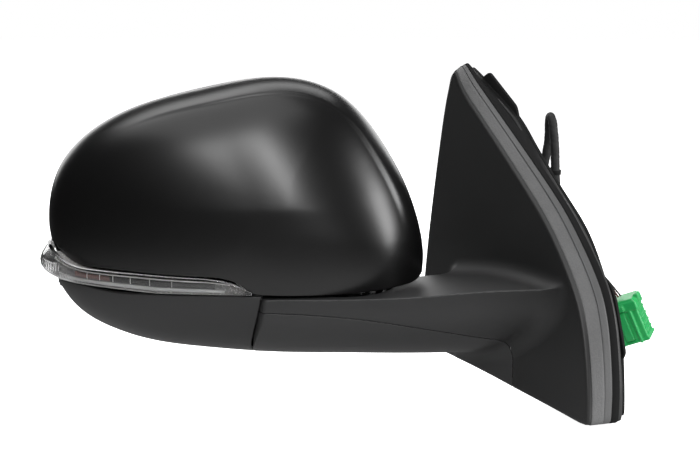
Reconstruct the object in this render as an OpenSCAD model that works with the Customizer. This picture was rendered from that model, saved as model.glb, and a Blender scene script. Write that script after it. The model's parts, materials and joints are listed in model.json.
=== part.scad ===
// Right-hand door mirror with power folding, powered convex glass, indicator lamp and sail foot.
// Frame: origin at the centre of the three door bolts on the foot's mounting face,
// +X into the door, +Y towards the rear of the car, +Z up. Millimetres.
// Head axes share that origin, turned by the sweep: x along the head (negative outboard),
// y towards the rear, z up.

/* [Mounting foot] */
// Diameter of the circle through the three door bolts
bolt_pcd = 84; // [80:1:88]
// Radius of each tapped bolt hole
bolt_hole_r = 3; // [2.5:0.1:3.3]
// Thickness of the cast mounting flange
flange_t = 8; // [7:0.5:9]
// Wall thickness of the moulded foot covers
cover_wall = 2.6; // [2.4:0.1:3]

/* [Head] */
// Angle that the head is swept back from square, degrees
head_sweep = 35; // [33:1:37]
// Depth of the front cover from its rim to its nose
cover_depth = 56; // [54:1:58]
// Wall thickness of the painted front cover
scalp_wall = 2.5; // [2:0.1:3]
// Depth of the rear bezel behind the rim
bezel_depth = 35; // [33:1:36]
// Radius of curvature of the convex glass
glass_radius = 1300; // [1200:50:1500]
// Thickness of the glass
glass_t = 2.2; // [2:0.1:2.4]

/* [Fold drive] */
// Radius of the swept joint between the head and the arm
seam_r = 64; // [63:0.5:65]
// Outer radius of the hollow pivot shaft
shaft_r = 10; // [10:0.1:10.2]
// Teeth on the fold gear
fold_teeth = 32; // [32:1:32]
// Axial pitch of the fold worm
fold_pitch = 3; // [3:0.1:3]

/* [Glass actuator] */
// Distance from the glass pivot to each jack screw
jack_arm = 25; // [25:0.5:25]
// Teeth on each jack nut
jack_teeth = 21; // [21:1:21]
// Axial pitch of the jack worms
jack_pitch = 2.4; // [2.4:0.1:2.4]

/* [Hidden] */
$fn = 40;

// places in head axes
pivot = [-110, -31];      // x and y of the fold axis
glass_mid = [-183, 74];   // x and z of the centre of the glass
gimbal_y = 2;             // plane of the glass pivot
rim_y = -11;              // plane of the head's rim
pole = [-165, 50];        // x and z of the point that rim radii start from
crease_z = 63;            // the front skin leans back above this height

seam_gap = 1.2;           // clearance on each side of the swept joint
gasket_t = 2.6;
grommet = [14, 6];        // y and z of the cable way to the door
thirds = [90, 210, 330];
bolt_yz = [for (angle = thirds) bolt_pcd/2*[cos(angle), sin(angle)]];

fold_worm_r = 3.5;
fold_worm_z = 27.5;
fold_gear_t = 3;
fold_reach = fold_teeth*fold_pitch/(2*PI) + fold_worm_r; // fold axis to worm axis
fold_turn = 30;           // the worm sits this far round from the front

actuator_y = -18.2;       // front face of the actuator base
case_r = 36;
boss_ring_r = 34;
jack_worm_r = 2.8;
jack_worm_z = 8.1;        // worm axes above the front of the base
jack_reach = jack_teeth*jack_pitch/(2*PI) + jack_worm_r; // nut axis to worm axis
worm_x = jack_arm - jack_reach; // glass pivot to worm axis
worm_turns = 4;

// ---------- curves ----------
function wrap(i, n) = (i % n + n) % n;
function ease(t) = t*t*(3 - 2*t);
function clamp01(t) = min(max(t, 0), 1);
function unit(vec) = vec/max(1e-9, norm(vec));
// unit vector square to a plane direction, on its left
function left_of(dir) = unit([-dir[1], dir[0]]);

// uniform cubic B-spline between p[1] and p[2]
function b_spline(p, f) =
  (pow(1 - f, 3)*p[0] + (3*pow(f, 3) - 6*f*f + 4)*p[1]
    + (-3*pow(f, 3) + 3*f*f + 3*f + 1)*p[2] + pow(f, 3)*p[3])/6;
// closed curve steered by points; t counts points
function loop_at(points, t) = let(start = floor(t))
  b_spline([for (k = [-1:2]) points[wrap(start + k, len(points))]], t - start);

// Catmull-Rom curve between p[1] and p[2]
function catmull(p, f) =
  0.5*(2*p[1] + (p[2] - p[0])*f + (2*p[0] - 5*p[1] + 4*p[2] - p[3])*f*f
    + (3*p[1] - p[0] - 3*p[2] + p[3])*pow(f, 3));
// open curve through points, share f of the way from point i to the next
function span_at(points, i, f) =
  catmull([for (k = [-1:2]) points[min(max(i + k, 0), len(points) - 1)]], f);
function line_at(points, t) =
  let(spans = len(points) - 1, x = clamp01(t)*spans, i = min(floor(x), spans - 1))
  span_at(points, i, x - i);
function trace(points, steps) = [for (k = [0:steps]) line_at(points, k/steps)];

// ---------- skin of the head ----------
// radius of the rim from the pole every 15 degrees, from +x towards +z
rim_radii = [99.3, 94, 91.4, 92.8, 95.4, 95, 93.4, 93, 97.5, 109, 125, 140,
  143, 140.5, 131, 112.5, 97.5, 90, 88.5, 93, 101, 108, 112, 107];
// control radii, pushed out to offset the smoothing of the B-spline
rim_control = [for (i = [0:23])
  let(here = rim_radii[i], around = rim_radii[wrap(i - 1, 24)] + rim_radii[wrap(i + 1, 24)])
  here + (here - (around + 4*here)/6)];
function rim_r(angle) = loop_at(rim_control, angle/15);
function rim_point(angle) = pole + rim_r(angle)*[cos(angle), sin(angle)];
function pole_angle(x, z) = atan2(z - pole[1], x - pole[0]);
// distance from the pole as a share of the rim radius
function rim_share(x, z) = norm([x, z] - pole)/rim_r(pole_angle(x, z));
function swell(angle) = 2.45 + 0.35*cos(angle);
function bulge(x, z) = sqrt(max(0, 1 - pow(min(1, rim_share(x, z)), swell(pole_angle(x, z)))));
function lean(x, z) = 1 - 0.24*ease(clamp01((x + 270)/130))*max(0, z - crease_z)/80;
function front_y(x, z) = rim_y - cover_depth*bulge(x, z)*lean(x, z);
// outward direction of the skin
function skin_out(x, y, z) =
  let(
    step = 0.5,
    power = swell(pole_angle(x, z)),
    slope = power*pow(rim_share(x, z), power - 1),
    dx = (rim_share(x + step, z) - rim_share(x - step, z))/(2*step),
    dz = (rim_share(x, z + step) - rim_share(x, z - step))/(2*step),
    grad = [slope*dx, -2*(rim_y - y)/pow(cover_depth, 2), slope*dz]
  ) grad/norm(grad);

// ---------- placing ----------
module in_head() { rotate([0, 0, -head_sweep]) children(); }
// the fold axis, from inside the head axes
module on_pivot(z = 0) { translate([pivot[0], pivot[1], z]) children(); }
module at_pivot(z = 0) { in_head() on_pivot(z) children(); }
// the fold axis turned so that the worm lies to local -y
module fold_side() { at_pivot() rotate(-fold_turn) children(); }
// local z rearward along the glass axis; local x = head x, local y = down
module at_glass(y = 0) {
  in_head() translate([glass_mid[0], y, glass_mid[1]]) rotate([-90, 0, 0]) children();
}
// its children as one moulding, at their own size
module moulded() { resize([0, 0, 0]) children(); }
// a y-z outline extruded along x
module along_x(x, length) {
  translate([x, 0, 0]) rotate([90, 0, 90]) linear_extrude(length) children();
}

// ---------- shapes ----------
// the two triangles of a four-sided face
function halves(a, b, c, d) = [[a, b, c], [a, c, d]];

// closed wall between two point grids, each of cols+1 columns and rows+1 rows
module wall(outer, inner, cols, rows) {
  function id(side, i, j) = (side*(cols + 1) + i)*(rows + 1) + j;
  polyhedron(points = concat(outer, inner), convexity = 6, faces = concat(
    [for (i = [0:cols-1], j = [0:rows-1])
      each halves(id(0, i, j), id(0, i, j+1), id(0, i+1, j+1), id(0, i+1, j))],
    [for (i = [0:cols-1], j = [0:rows-1])
      each halves(id(1, i, j), id(1, i+1, j), id(1, i+1, j+1), id(1, i, j+1))],
    [for (i = [0:cols-1]) each halves(id(0, i, 0), id(0, i+1, 0), id(1, i+1, 0), id(1, i, 0))],
    [for (i = [0:cols-1])
      each halves(id(0, i, rows), id(1, i, rows), id(1, i+1, rows), id(0, i+1, rows))],
    [for (j = [0:rows-1]) each halves(id(0, 0, j), id(1, 0, j), id(1, 0, j+1), id(0, 0, j+1))],
    [for (j = [0:rows-1])
      each halves(id(0, cols, j), id(0, cols, j+1), id(1, cols, j+1), id(1, cols, j))]));
}
// closed solid through a stack of rings with the same number of points
module loft(rings) {
  n = len(rings);
  m = len(rings[0]);
  polyhedron(points = [for (ring = rings) each ring], convexity = 8, faces = concat(
    [[for (j = [m-1:-1:0]) j]],
    [[for (j = [0:m-1]) (n-1)*m + j]],
    [for (i = [0:n-2], j = [0:m-1]) let(a = i*m + j, b = i*m + (j+1)%m)
      each halves(a, b, b + m, a + m)]));
}
// closed hoop: each station is a closed profile, and the stations run round a loop
module hoop(stations) {
  n = len(stations);
  m = len(stations[0]);
  polyhedron(points = [for (profile = stations) each profile], convexity = 10, faces =
    [for (i = [0:n-1], j = [0:m-1]) let(next = ((i+1)%n)*m, k = (j+1)%m)
      each halves(i*m + j, next + j, next + k, i*m + k)]);
}
// round cord along a list of points
module cord(path, radius, sides = 10) {
  last = len(path) - 1;
  loft([for (i = [0:last])
    let(
      along = unit(path[min(i+1, last)] - path[max(i-1, 0)]),
      across = unit(cross(along, [0.31, 0.87, 0.38])),
      third = cross(along, across)
    )
    [for (k = [0:sides-1]) let(angle = -360*k/sides)
      path[i] + radius*(across*cos(angle) + third*sin(angle))]]);
}
// ring whose hole is cut from 1 below its foot
module tube(outer, inner, height, cut) {
  difference() {
    cylinder(r = outer, h = height);
    translate([0, 0, -1]) cylinder(r = inner, h = cut);
  }
}
module screw(radius, head_r, length) {
  difference() {
    union() {
      cylinder(r = radius, h = length);
      translate([0, 0, length]) cylinder(r = head_r, h = 1.8);
    }
    translate([0, 0, length + 0.6]) cylinder(r = head_r*0.45, h = 2, $fn = 6);
  }
}
// toothed disc for a worm: the teeth are narrow enough to clear the thread
module wheel(teeth, pitch, height, depth) {
  pitch_r = teeth*pitch/(2*PI);
  tip_r = pitch_r + depth*0.9;
  root_r = pitch_r - depth*1.6;
  // one tooth: radius, and offset from its centre as a share of the pitch
  tooth = [[root_r, -0.36], [pitch_r, -0.13], [tip_r, -0.05],
    [tip_r, 0.05], [pitch_r, 0.13], [root_r, 0.36]];
  linear_extrude(height) polygon([for (k = [0:teeth-1], corner = tooth)
    let(angle = 360*k/teeth + corner[1]*pitch/pitch_r*180/PI)
    corner[0]*[cos(angle), sin(angle)]]);
}
// single-start worm along z: an eccentric round section turned along its length, on a spindle
module worm(radius, throw, pitch, stub, spindle_r) {
  length = pitch*worm_turns;
  translate([0, 0, -length/2])
    linear_extrude(height = length, twist = -360*worm_turns, slices = 10*worm_turns, $fn = 12)
      translate([throw, 0]) circle(r = radius, $fn = 12);
  translate([0, 0, -length/2 - stub]) cylinder(r = spindle_r, h = length + 2*stub);
}

// ---------- front cover ----------
// lower edge from the outboard end, x and z
scalp_low = [[-306, 37], [-299, 32], [-291, 26], [-281, 23.4], [-262, 22.4], [-240, 21],
  [-215, 19.8], [-196, 19], [-186, 17], [-179, 13], [-172, 9.2], [-160, 8.4], [-140, 8.6],
  [-114, 9.6], [-94, 11.2], [-78, 12.8], [-67, 14], [-61.6, 17.5]];
module front_cover() {
  cols = 40;
  rows = 14;
  outer = [for (i = [0:cols], j = [0:rows])
    let(
      along = ease(i/cols)*0.35 + i/cols*0.65,
      low = line_at(scalp_low, along),
      high = rim_point(181 + (-14 - 181)*along),
      p = low + (high - low)*(1 - pow(1 - j/rows, 2))
    ) [p[0], front_y(p[0], p[1]), p[1]]];
  inner = [for (p = outer) p - scalp_wall*skin_out(p[0], p[1], p[2])];
  color("#1b1b1c") in_head() wall(outer, inner, cols, rows);
}

// ---------- rear bezel ----------
// outline control points, x and z: along the rim, then the lower edge from the outboard end
bezel_control = concat([for (angle = [-8:12:172]) rim_point(angle)],
  [[-308, 44], [-306, 32], [-300, 18], [-288, 10], [-262, 8.6], [-230, 8.6],
   [-200, 8.6], [-160, 8.8], [-120, 9.6], [-90, 11], [-70, 13.5], [-62, 23]]);
// t runs from 0 to 1 once round
function bezel_at(t) = loop_at(bezel_control, t*len(bezel_control));
function bezel_in(t, inset) =
  bezel_at(t) + inset*left_of(bezel_at(t + 0.002) - bezel_at(t - 0.002));
module rear_bezel() {
  depth = bezel_depth;
  // inset from the outline, and distance behind the rim
  profile = [[0, 0.3], [0.5, 12], [1.8, depth*0.66], [4.2, depth*0.88], [7, depth - 0.8],
    [8.8, depth], [10, depth - 1.2], [10.6, depth - 5], [11, depth - 19], [9, depth - 19],
    [8.4, depth - 6], [7.4, depth - 3.6], [5.6, depth*0.84], [3.9, depth*0.64],
    [2.7, 12], [2.4, 0.3]];
  color("#202122") in_head() hoop([for (k = [0:79])
    [for (p = profile) let(q = bezel_in(k/80, p[0])) [q[0], rim_y + p[1], q[1]]]]);
}

// ---------- lower cover ----------
lower_top = 6.4;
lower_rear = 16; // depth behind the rim
module lower_cover() {
  cols = 26;
  rows = 22;
  // section at one rim angle: down the front (side < 0), then up the rear
  function section(angle, inset) = [for (k = [0:rows])
    let(
      side = -1 + 2*k/rows,
      front = side < 0,
      rim = rim_point(angle),
      top = lower_top + (front ? 4.4*ease(clamp01((-262 - rim[0])/34)) : 0.6),
      z = rim[1] + (top - rim[1])*side*side,
      x = rim[0] + (pole[0] - rim[0])*(z - rim[1])/(pole[1] - rim[1])*0.15,
      full = bulge(x, z),
      y = rim_y + full*(front ? -cover_depth : lower_rear),
      out = skin_out(x, front ? y : rim_y + 0.01, z)
    ) [x, y, z] - inset*(front ? out : unit([out[0], 0.6*full, out[2]]))];
  function skin(inset) = [for (i = [0:cols]) each section(-161 + i*(70/cols), inset)];
  color("#26272a") in_head() moulded() difference() {
    wall(skin(2.4), skin(0), cols, rows);
    on_pivot(-60) cylinder(r = seam_r + seam_gap, h = 90, $fn = 96);
  }
}

// ---------- indicator lamp ----------
lamp_start_x = -171;
lamp_corner_x = -300;
// x and y of the head skin along the lamp at height z:
// t = 0 at the inboard end, 0.8 where it turns the corner, 1 at the wrapped rear end
function lamp_base(t, z) = t < 0.8
  ? let(x = lamp_start_x + (lamp_corner_x - lamp_start_x)*t/0.8) [x, front_y(x, z)]
  : let(
      angle = pole_angle(lamp_corner_x, z),
      start = asin((rim_y - front_y(lamp_corner_x, z))/cover_depth),
      s = sin(start + (-38 - start)*(t - 0.8)/0.2),
      share = s > 0 ? pow(1 - s*s, 1/swell(angle)) : 1 - 0.035*s*s
    ) [pole[0] - sqrt(pow(share*rim_r(angle), 2) - pow(pole[1] - z, 2)),
       rim_y - s*(s > 0 ? cover_depth : 38)];
function lamp_out(t, z) = left_of(lamp_base(min(1, t + 0.02), z) - lamp_base(max(0, t - 0.02), z));
// how far the lens stands off the skin
function lamp_proud(t) =
  1.0 + 7.2*ease(clamp01((t - 0.4)/0.5))*(1 - 0.5*ease(clamp01((t - 0.9)/0.1)));
// t, and height of the lamp's lower or upper edge
lamp_low = [[0, 7.4], [0.4, 7.4], [0.65, 10.7], [0.8, 12.4], [0.9, 14.4], [1, 17]];
lamp_high = [[0, 8.8], [0.035, 11.2], [0.08, 15.2], [0.13, 17.3], [0.2, 18.7], [0.32, 19.4],
  [0.45, 20.6], [0.57, 21.6], [0.69, 23], [0.745, 26.5], [0.79, 32], [0.85, 35.6],
  [0.92, 36], [1, 33]];
// solid strip between two offsets from the lens face; heights are shares of the lamp's height,
// ends are values of t, cells are the grid's columns and rows
module lamp_strip(offsets, heights, ends, cells, crown = 0) {
  function grid(offset) = [for (i = [0:cells[0]], j = [0:cells[1]])
    let(
      t = ends[0] + (ends[1] - ends[0])*i/cells[0],
      up = heights[0] + (heights[1] - heights[0])*j/cells[1],
      low = lookup(t, lamp_low),
      z = low + up*(lookup(t, lamp_high) - low),
      off = lamp_proud(t) + offset + crown*(1 - pow(2*up - 1, 2)),
      p = lamp_base(t, z) + off*lamp_out(t, z)
    ) [p[0], p[1], z]];
  in_head() wall(grid(offsets[0]), grid(offsets[1]), cells[0], cells[1]);
}
module lamp_lens() {
  color("#e8eaec") lamp_strip([-2, 0], [0.03, 0.97], [0.012, 0.985], [32, 5], crown = 0.9);
}
module lamp_light_guide() {
  color("#f4f6f8") lamp_strip([-6.2, -3.4], [0.36, 0.6], [0.13, 0.76], [26, 2]);
}
module lamp_housing() {
  color("#1a1a1c") moulded() difference() {
    lamp_strip([-12, -2.3], [0.08, 0.9], [0.05, 0.8], [24, 3]);
    lamp_strip([-10.4, 5], [0.24, 0.76], [0.1, 0.78], [24, 3]);
  }
}
module lamp_board() {
  color("#2f6b3c") lamp_strip([-10, -8.8], [0.3, 0.7], [0.13, 0.7], [18, 2]);
}

// ---------- sail foot ----------
// outline of the outer face, y and z
face_outline = [[-121, -64], [-118.5, -45], [-113.4, -23], [-107, -4], [-98.3, 13], [-82, 34],
  [-59, 57.7], [-26, 84], [10, 111], [36, 130.5], [47, 144], [51, 139], [54.5, 117], [57, 83],
  [59, 46], [59.5, 10], [59, -22], [56, -38], [40, -42], [17, -44.6], [-20, -49.6],
  [-48, -53.9], [-85, -59.4], [-112, -63.8]];
// outline where the foot meets the gasket, y and z
gasket_outline = [[-112, -64.5], [-111.6, -45], [-109.4, -20], [-102, 1], [-93, 19.5],
  [-74.5, 49.6], [-46, 76], [-24, 97], [-2.4, 118], [33, 139], [46, 146], [51.5, 140],
  [55.6, 117], [58.2, 83], [60.2, 46], [60.7, 10], [60.2, -22], [57, -40], [40, -44],
  [17, -46.4], [-20, -51.4], [-48, -55.6], [-85, -60.6], [-104, -64]];
function sail_face_x(z) = -(15 + (153 - z)*0.11);
// share of the flare at each corner: full on the front edge, slight elsewhere
function flare_share(i) = i < 4 ? [0.1, 0.35, 0.6, 0.85][i] : i < 10 ? 1 : i < 12 ? 0.6 : 0.25;
// outline moved outward by a flare and an even amount
function grown(points, flare, out) = let(n = len(points)) [for (i = [0:n-1])
  points[i] + left_of(points[wrap(i+1, n)] - points[wrap(i-1, n)])*(flare*flare_share(i) + out)];
// ring at a share of the way from the gasket to the outer face
function sail_ring(share, flare, out, shift = 0) = [for (p = grown(face_outline, flare, out))
  [share*sail_face_x(p[1]) - gasket_t*(1 - share) + shift, p[0], p[1]]];
function back_ring(x, out) = [for (p = grown(gasket_outline, 0, out)) [x, p[0], p[1]]];
module sail_body() {
  loft([sail_ring(1, 0, -1.4, -0.2), sail_ring(0.97, 0, 0), sail_ring(0.6, 7.3, 0),
    sail_ring(0.34, 9.8, 0.2), sail_ring(0.26, 9.2, 0),
    back_ring(-6, -0.4), back_ring(-gasket_t, -0.6)]);
}
module sail_void() {
  loft([sail_ring(1, 0, -cover_wall - 1, cover_wall), sail_ring(0.6, 7.3, -2.9),
    sail_ring(0.3, 8, -3.4), back_ring(-5, -3.4), back_ring(-gasket_t, -3.4),
    back_ring(4, -3.4)]);
}

// arm sections in head axes: x, then y of front and rear, z of top and bottom
arm_stations = [
  [-186, -61.5, 5, 4.4, -37],
  [-150, -64, 6, 4.8, -38.2],
  [-110, -67, 6, 5.2, -38.4],
  [-68, -72, 4, 7.4, -38.4],
  [-28, -78, -2, 12, -37],
  [12, -83.5, -10, 15, -32],
  [34, -88, -20, 16, -28]];
function arm_at(x) =
  let(
    i = max([for (k = [0:len(arm_stations)-2]) if (k == 0 || x >= arm_stations[k][0]) k]),
    start = arm_stations[i][0]
  ) span_at(arm_stations, i, (x - start)/(arm_stations[i+1][0] - start));
function arm_section(x, inset) =
  let(
    edges = arm_at(x),
    front = edges[1] + inset,
    rear = edges[2] - inset,
    top = edges[3] - inset,
    bottom = edges[4] + inset,
    keel = -12, // y of the lowest line
    steps = 12
  ) concat(
    // down the front, up the rear, then forward over the crowned top
    [for (k = [-steps:steps]) let(drop = 1 - pow(k/steps, 2))
      [x, keel + ((k < 0 ? front : rear) - keel)*sqrt(max(0, 1 - pow(drop, 2.3))),
       top - (top - bottom)*drop]],
    [for (k = [1:3]) [x, rear + (front - rear)*k/4, top + 1.2*sin(45*k)]]);
// arm from inside the round end at the swept joint to end_x
module arm(inset, end_x) {
  intersection() {
    in_head() loft([for (k = [18:-1:0]) arm_section(-176 + (end_x + 176)*k/18, inset)]);
    union() {
      at_pivot(-60) cylinder(r = seam_r - seam_gap - inset, h = 90, $fn = 96);
      in_head() translate([pivot[0], -120, -60]) cube([160, 160, 90]);
    }
  }
}
module foot_skin() {
  difference() {
    union() {
      sail_body();
      arm(0, 22);
    }
    sail_void();
    arm(cover_wall, 18);
    translate([-0.3, -200, -200]) cube([100, 400, 400]);
  }
}
// parting line between the two foot covers, x and z in head axes
part_line = [[-200, -4], [-168, -4.1], [-146, -4.6], [-124, -5.8], [-104, -7.4], [-84, -9.9],
  [-64, -13], [-44, -16.2], [-19, -20.6], [-13, -22], [-7, -27], [-4.5, -36]];
module below_line(grow) {
  in_head() translate([0, 40, 0]) rotate([90, 0, 0]) linear_extrude(160)
    offset(delta = grow) polygon(concat(part_line, [[-4.5, -90], [-200, -90]]));
}
module foot_cover() {
  color("#232427") moulded() difference() {
    foot_skin();
    below_line(0);
    at_pivot(-20) cylinder(r = 28, h = 60, $fn = 64);
  }
}
module arm_lower_cover() {
  color("#232427") moulded() intersection() {
    foot_skin();
    below_line(-0.35);
  }
}

// locating tabs that stand out from the gasket's front edge, y and z
gasket_tabs = [
  [[1, 112], [38, 134], [34.3, 139.7], [27.3, 143.6], [-1.1, 123.3], [-4, 116]],
  [[-90, 18], [-93.2, 21.8], [-99.1, 16.9], [-103.2, 9.1], [-112.8, -24], [-108.4, -31],
   [-103, -31]]];
module door_gasket() {
  color("#101011") union() {
    along_x(-gasket_t, gasket_t) difference() {
      polygon(gasket_outline);
      offset(delta = -7) polygon(gasket_outline);
    }
    for (tab = gasket_tabs) along_x(-2.3, 2) polygon(tab);
  }
}

module base_bracket() {
  color("#a9abad") difference() {
    union() {
      along_x(-flange_t, flange_t) hull() for (bolt = bolt_yz) translate(bolt) circle(r = 12);
      for (bolt = bolt_yz) along_x(-16, 16) translate(bolt) circle(r = 9);
      // neck from the flange to the pivot
      hull() {
        translate([-12, -38, -20]) cube([8, 36, 22]);
        at_pivot(-23) cylinder(r = 18, h = 15, $fn = 32);
      }
      at_pivot(-24) cylinder(r = 19, h = 21);
      at_pivot(-5) cylinder(r = 25, h = 8);
    }
    for (bolt = bolt_yz) along_x(-17, 20) translate(bolt) circle(r = bolt_hole_r);
    at_pivot(-40) cylinder(r = shaft_r, h = 60);
    // cable way to the door
    translate([-20, grommet[0], grommet[1]]) along_x(0, 30) circle(r = 8);
  }
}
module cover_screws() {
  color("silver") for (site = [[-60, -30], [-60, 44], [28, 70]])
    translate([-13, site[0], site[1]]) rotate([0, 90, 0]) screw(1.9, 4, 10);
}

// ---------- cables ----------
// run inside the foot, from the hollow pivot down under the casting to the grommet
foot_run = [[-108, 37.5, -5], [-108, 37.5, -16], [-108, 37.5, -24], [-105, 37, -29.4],
  [-96, 34, -31.2], [-72, 25, -30], [-46, 14, -26.5], [-30, 9, -24.6], [-22, 10, -24],
  [-16, 14, -14], [-14, 14, -2], [-12, 14, 6]];
// loop on the door side, from the grommet up, over and down towards the plug
door_run = [[-12, 14, 6], [-4, 14, 6], [4.6, 13.9, 6.6], [11.6, 9.8, 22], [20, 3, 60],
  [24.5, -2.5, 95], [23.5, -5, 111], [21.6, -8.5, 115.5], [20.4, -12.5, 111], [20, -15.4, 95],
  [19.4, -18, 70], [21, -24, 45], [24, -33, 28], [27.4, -41, 19.5]];
module door_harness() {
  // the two runs share the point at the grommet, so the first leaves it out
  foot_path = [for (k = [0:19]) line_at(foot_run, k/20)];
  color("#141414") cord(concat(foot_path, trace(door_run, 26)), 3);
}
module cable_grommet() {
  color("#1c1c1d") translate([0, grommet[0], grommet[1]]) along_x(-9, 12.5) difference() {
    circle(r = 7.9);
    translate([-0.2, 0.2]) circle(r = 4.9);
  }
}
// five wires fanning out from the harness to the plug
module harness_wires() {
  color("#3a2a20") in_head() for (k = [0:4]) let(fan = k - 2)
    cord(trace([
      [47.1, -18.6 + fan*1.05, 18.2 + (k%2)*1.6 - 0.8],
      [53, -19 + fan*0.6, 15 + fan*0.9],
      [60, -18, 7 + fan*1.25],
      [65.5 + fan*1.6, -17, -2.6 + fan*0.8]], 9), 0.55, 6);
}
module at_plug() {
  in_head() translate([73.5, -15, -17]) rotate([14.4, -19.9, -23.1]) children();
}
// two rows of seven
module plug_pins(z, radius, length) {
  for (i = [-3:3], j = [-1, 1])
    translate([i*2.9, j*3.2, z]) cylinder(r = radius, h = length, $fn = 16);
}
module harness_plug() {
  color("#21b355") at_plug() difference() {
    union() {
      translate([-11.5, -7.5, -15.5]) cube([23, 15, 31]);
      translate([-12.7, -8.7, 7.5]) cube([25.4, 17.4, 7]);
      // latch arm between its guards
      translate([-3, -10.2, -12]) cube([6, 3, 20]);
      translate([-4.4, -10.6, 9]) cube([8.8, 3, 4.4]);
      for (side = [-1, 1]) translate([side*6.6 - 1, -9.2, -15.5]) cube([2, 3, 24]);
      translate([10.5, -3, 10.5]) cube([3.8, 6, 6]);
    }
    plug_pins(-17, 0.95, 40);
  }
}
module plug_terminals() { color("gold") at_plug() plug_pins(-13, 0.7, 20); }
module cable_tie() {
  color("#0e0e0f") translate([19.7, -16.7, 78]) rotate([5, 0, 0]) difference() {
    union() {
      cylinder(r = 4.6, h = 3.6);
      translate([2.6, -2.2, -0.6]) cube([4.5, 4.4, 4.8]);
    }
    translate([0, 0, -1]) cylinder(r = 3.5, h = 8);
  }
}

// ---------- fold drive ----------
module pivot_shaft() {
  color("#b8bcc0") at_pivot() difference() {
    union() {
      translate([0, 0, -24]) cylinder(r = shaft_r, h = 84);
      translate([0, 0, 3]) cylinder(r = 13, h = 5.9);
    }
    translate([0, 0, -25]) cylinder(r = 6.5, h = 90);
    // circlip groove
    translate([0, 0, 55]) tube(12, 9.2, 1.6, 4);
  }
}
module detent_ring() {
  color("#8f9296") at_pivot(3) union() {
    tube(24, 13.6, 2.2, 5);
    for (angle = [0, 120, 240]) rotate(angle)
      translate([19, 0, 2]) rotate([90, 0, 90]) translate([0, 0, -2.4]) cylinder(r = 1.9, h = 4.8);
  }
}
module fold_gear() {
  color("#d8cfae") at_pivot(fold_worm_z - fold_gear_t/2) rotate(-90 - fold_turn) difference() {
    union() {
      wheel(fold_teeth, fold_pitch, fold_gear_t, 0.85);
      translate([0, 0, -3]) cylinder(r = 13, h = 3);
    }
    translate([0, 0, -5]) cylinder(r = shaft_r + 0.03, h = 12);
  }
}
module fold_worm() {
  color("#c9b26a") fold_side() translate([0, -fold_reach, fold_worm_z])
    rotate([90, 0, 90]) rotate(180) worm(fold_worm_r, 0.9, fold_pitch, 2.4, 1.5);
}
module fold_motor() {
  length = 21.4;
  color("#9fa3a6") fold_side()
    translate([-10.8, -fold_reach, fold_worm_z]) rotate([0, -90, 0]) union() {
      intersection() {
        cylinder(r = 8, h = length);
        translate([-9, -6.2, 0]) cube([18, 12.4, length]);
      }
      translate([0, 0, length]) cylinder(r = 3, h = 1.4);
    }
}
module clutch_spring() {
  low = 31.2;
  high = 51;
  coil_r = 13;
  path = [for (k = [0:72]) let(f = k/72, angle = 360*4.5*f)
    [coil_r*cos(angle), coil_r*sin(angle), low + (high - low)*f]];
  color("#7d8084") at_pivot() cord(path, 1.3, 6);
}
module spring_washer() { color("#9a9da0") at_pivot(52.5) tube(17, shaft_r + 0.1, 2.2, 5); }
module shaft_circlip() {
  color("#55585b") at_pivot(55.1) difference() {
    cylinder(r = 13.4, h = 1.4);
    translate([0, 0, -1]) cylinder(r = 9.3, h = 4);
    translate([0, -2.5, -1]) cube([20, 5, 4]);
  }
}
// the two screws between the fold housing and the head frame, from the fold axis
module fold_screw_sites(y) {
  for (side = [-1, 1]) translate([side*28, y, 49]) rotate([-90, 0, 0]) children();
}
module fold_housing() {
  color("#2b2d30") difference() {
    union() {
      at_pivot(9) cylinder(r = 24, h = 6);
      at_pivot(15) cylinder(r = 21.5, h = 43);
      // worm and motor tunnel
      fold_side() translate([-35.2, -fold_reach - 7.8, 17.5]) cube([45, 14, 20]);
      // flange to the head frame
      at_pivot() translate([-32, 2, 42]) cube([64, 5.9, 14]);
    }
    at_pivot(18) cylinder(r = 18.6, h = 60);
    at_pivot(8) translate([-30, 19.6, 0]) cube([60, 10, 9]);
    at_pivot(8) cylinder(r = 12.5, h = 20);
    // clearance over the detent bumps
    at_pivot(8) tube(22.4, 15.5, 1.6, 4);
    // inside of the tunnel, less the two bearing walls for the worm
    fold_side() difference() {
      translate([-34, -fold_reach - 6.6, 18.9]) cube([42.6, 16, 17.2]);
      for (x = [-8.9, 7.1]) difference() {
        translate([x, -fold_reach - 7, 18]) cube([1.3, 12.2, 19]);
        translate([x - 1, -fold_reach, fold_worm_z]) rotate([0, 90, 0]) cylinder(r = 1.56, h = 4);
      }
    }
    at_pivot() fold_screw_sites(-1) cylinder(r = 1.56, h = 20);
  }
}
module fold_cap() {
  color("#232528") at_pivot(58.3) difference() {
    union() {
      cylinder(r = 21.5, h = 2.4);
      translate([0, 0, -3]) tube(18.4, 16.6, 3.1, 6);
    }
    translate([0, 0, -6]) cylinder(r = 11.2, h = 12);
  }
}
module pivot_bush() { color("#b08d4c") at_pivot(9) tube(12.5, shaft_r + 0.06, 13, 20); }
module fold_screws() { color("silver") at_pivot() fold_screw_sites(0) screw(1.5, 3, 11.1); }

// ---------- head frame ----------
// the three actuator bosses, from inside the head axes, pointing rearward
module boss_sites(y) {
  for (angle = thirds)
    translate([glass_mid[0] + boss_ring_r*cos(angle), y, glass_mid[1] + boss_ring_r*sin(angle)])
      rotate([-90, 0, 0]) children();
}
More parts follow.
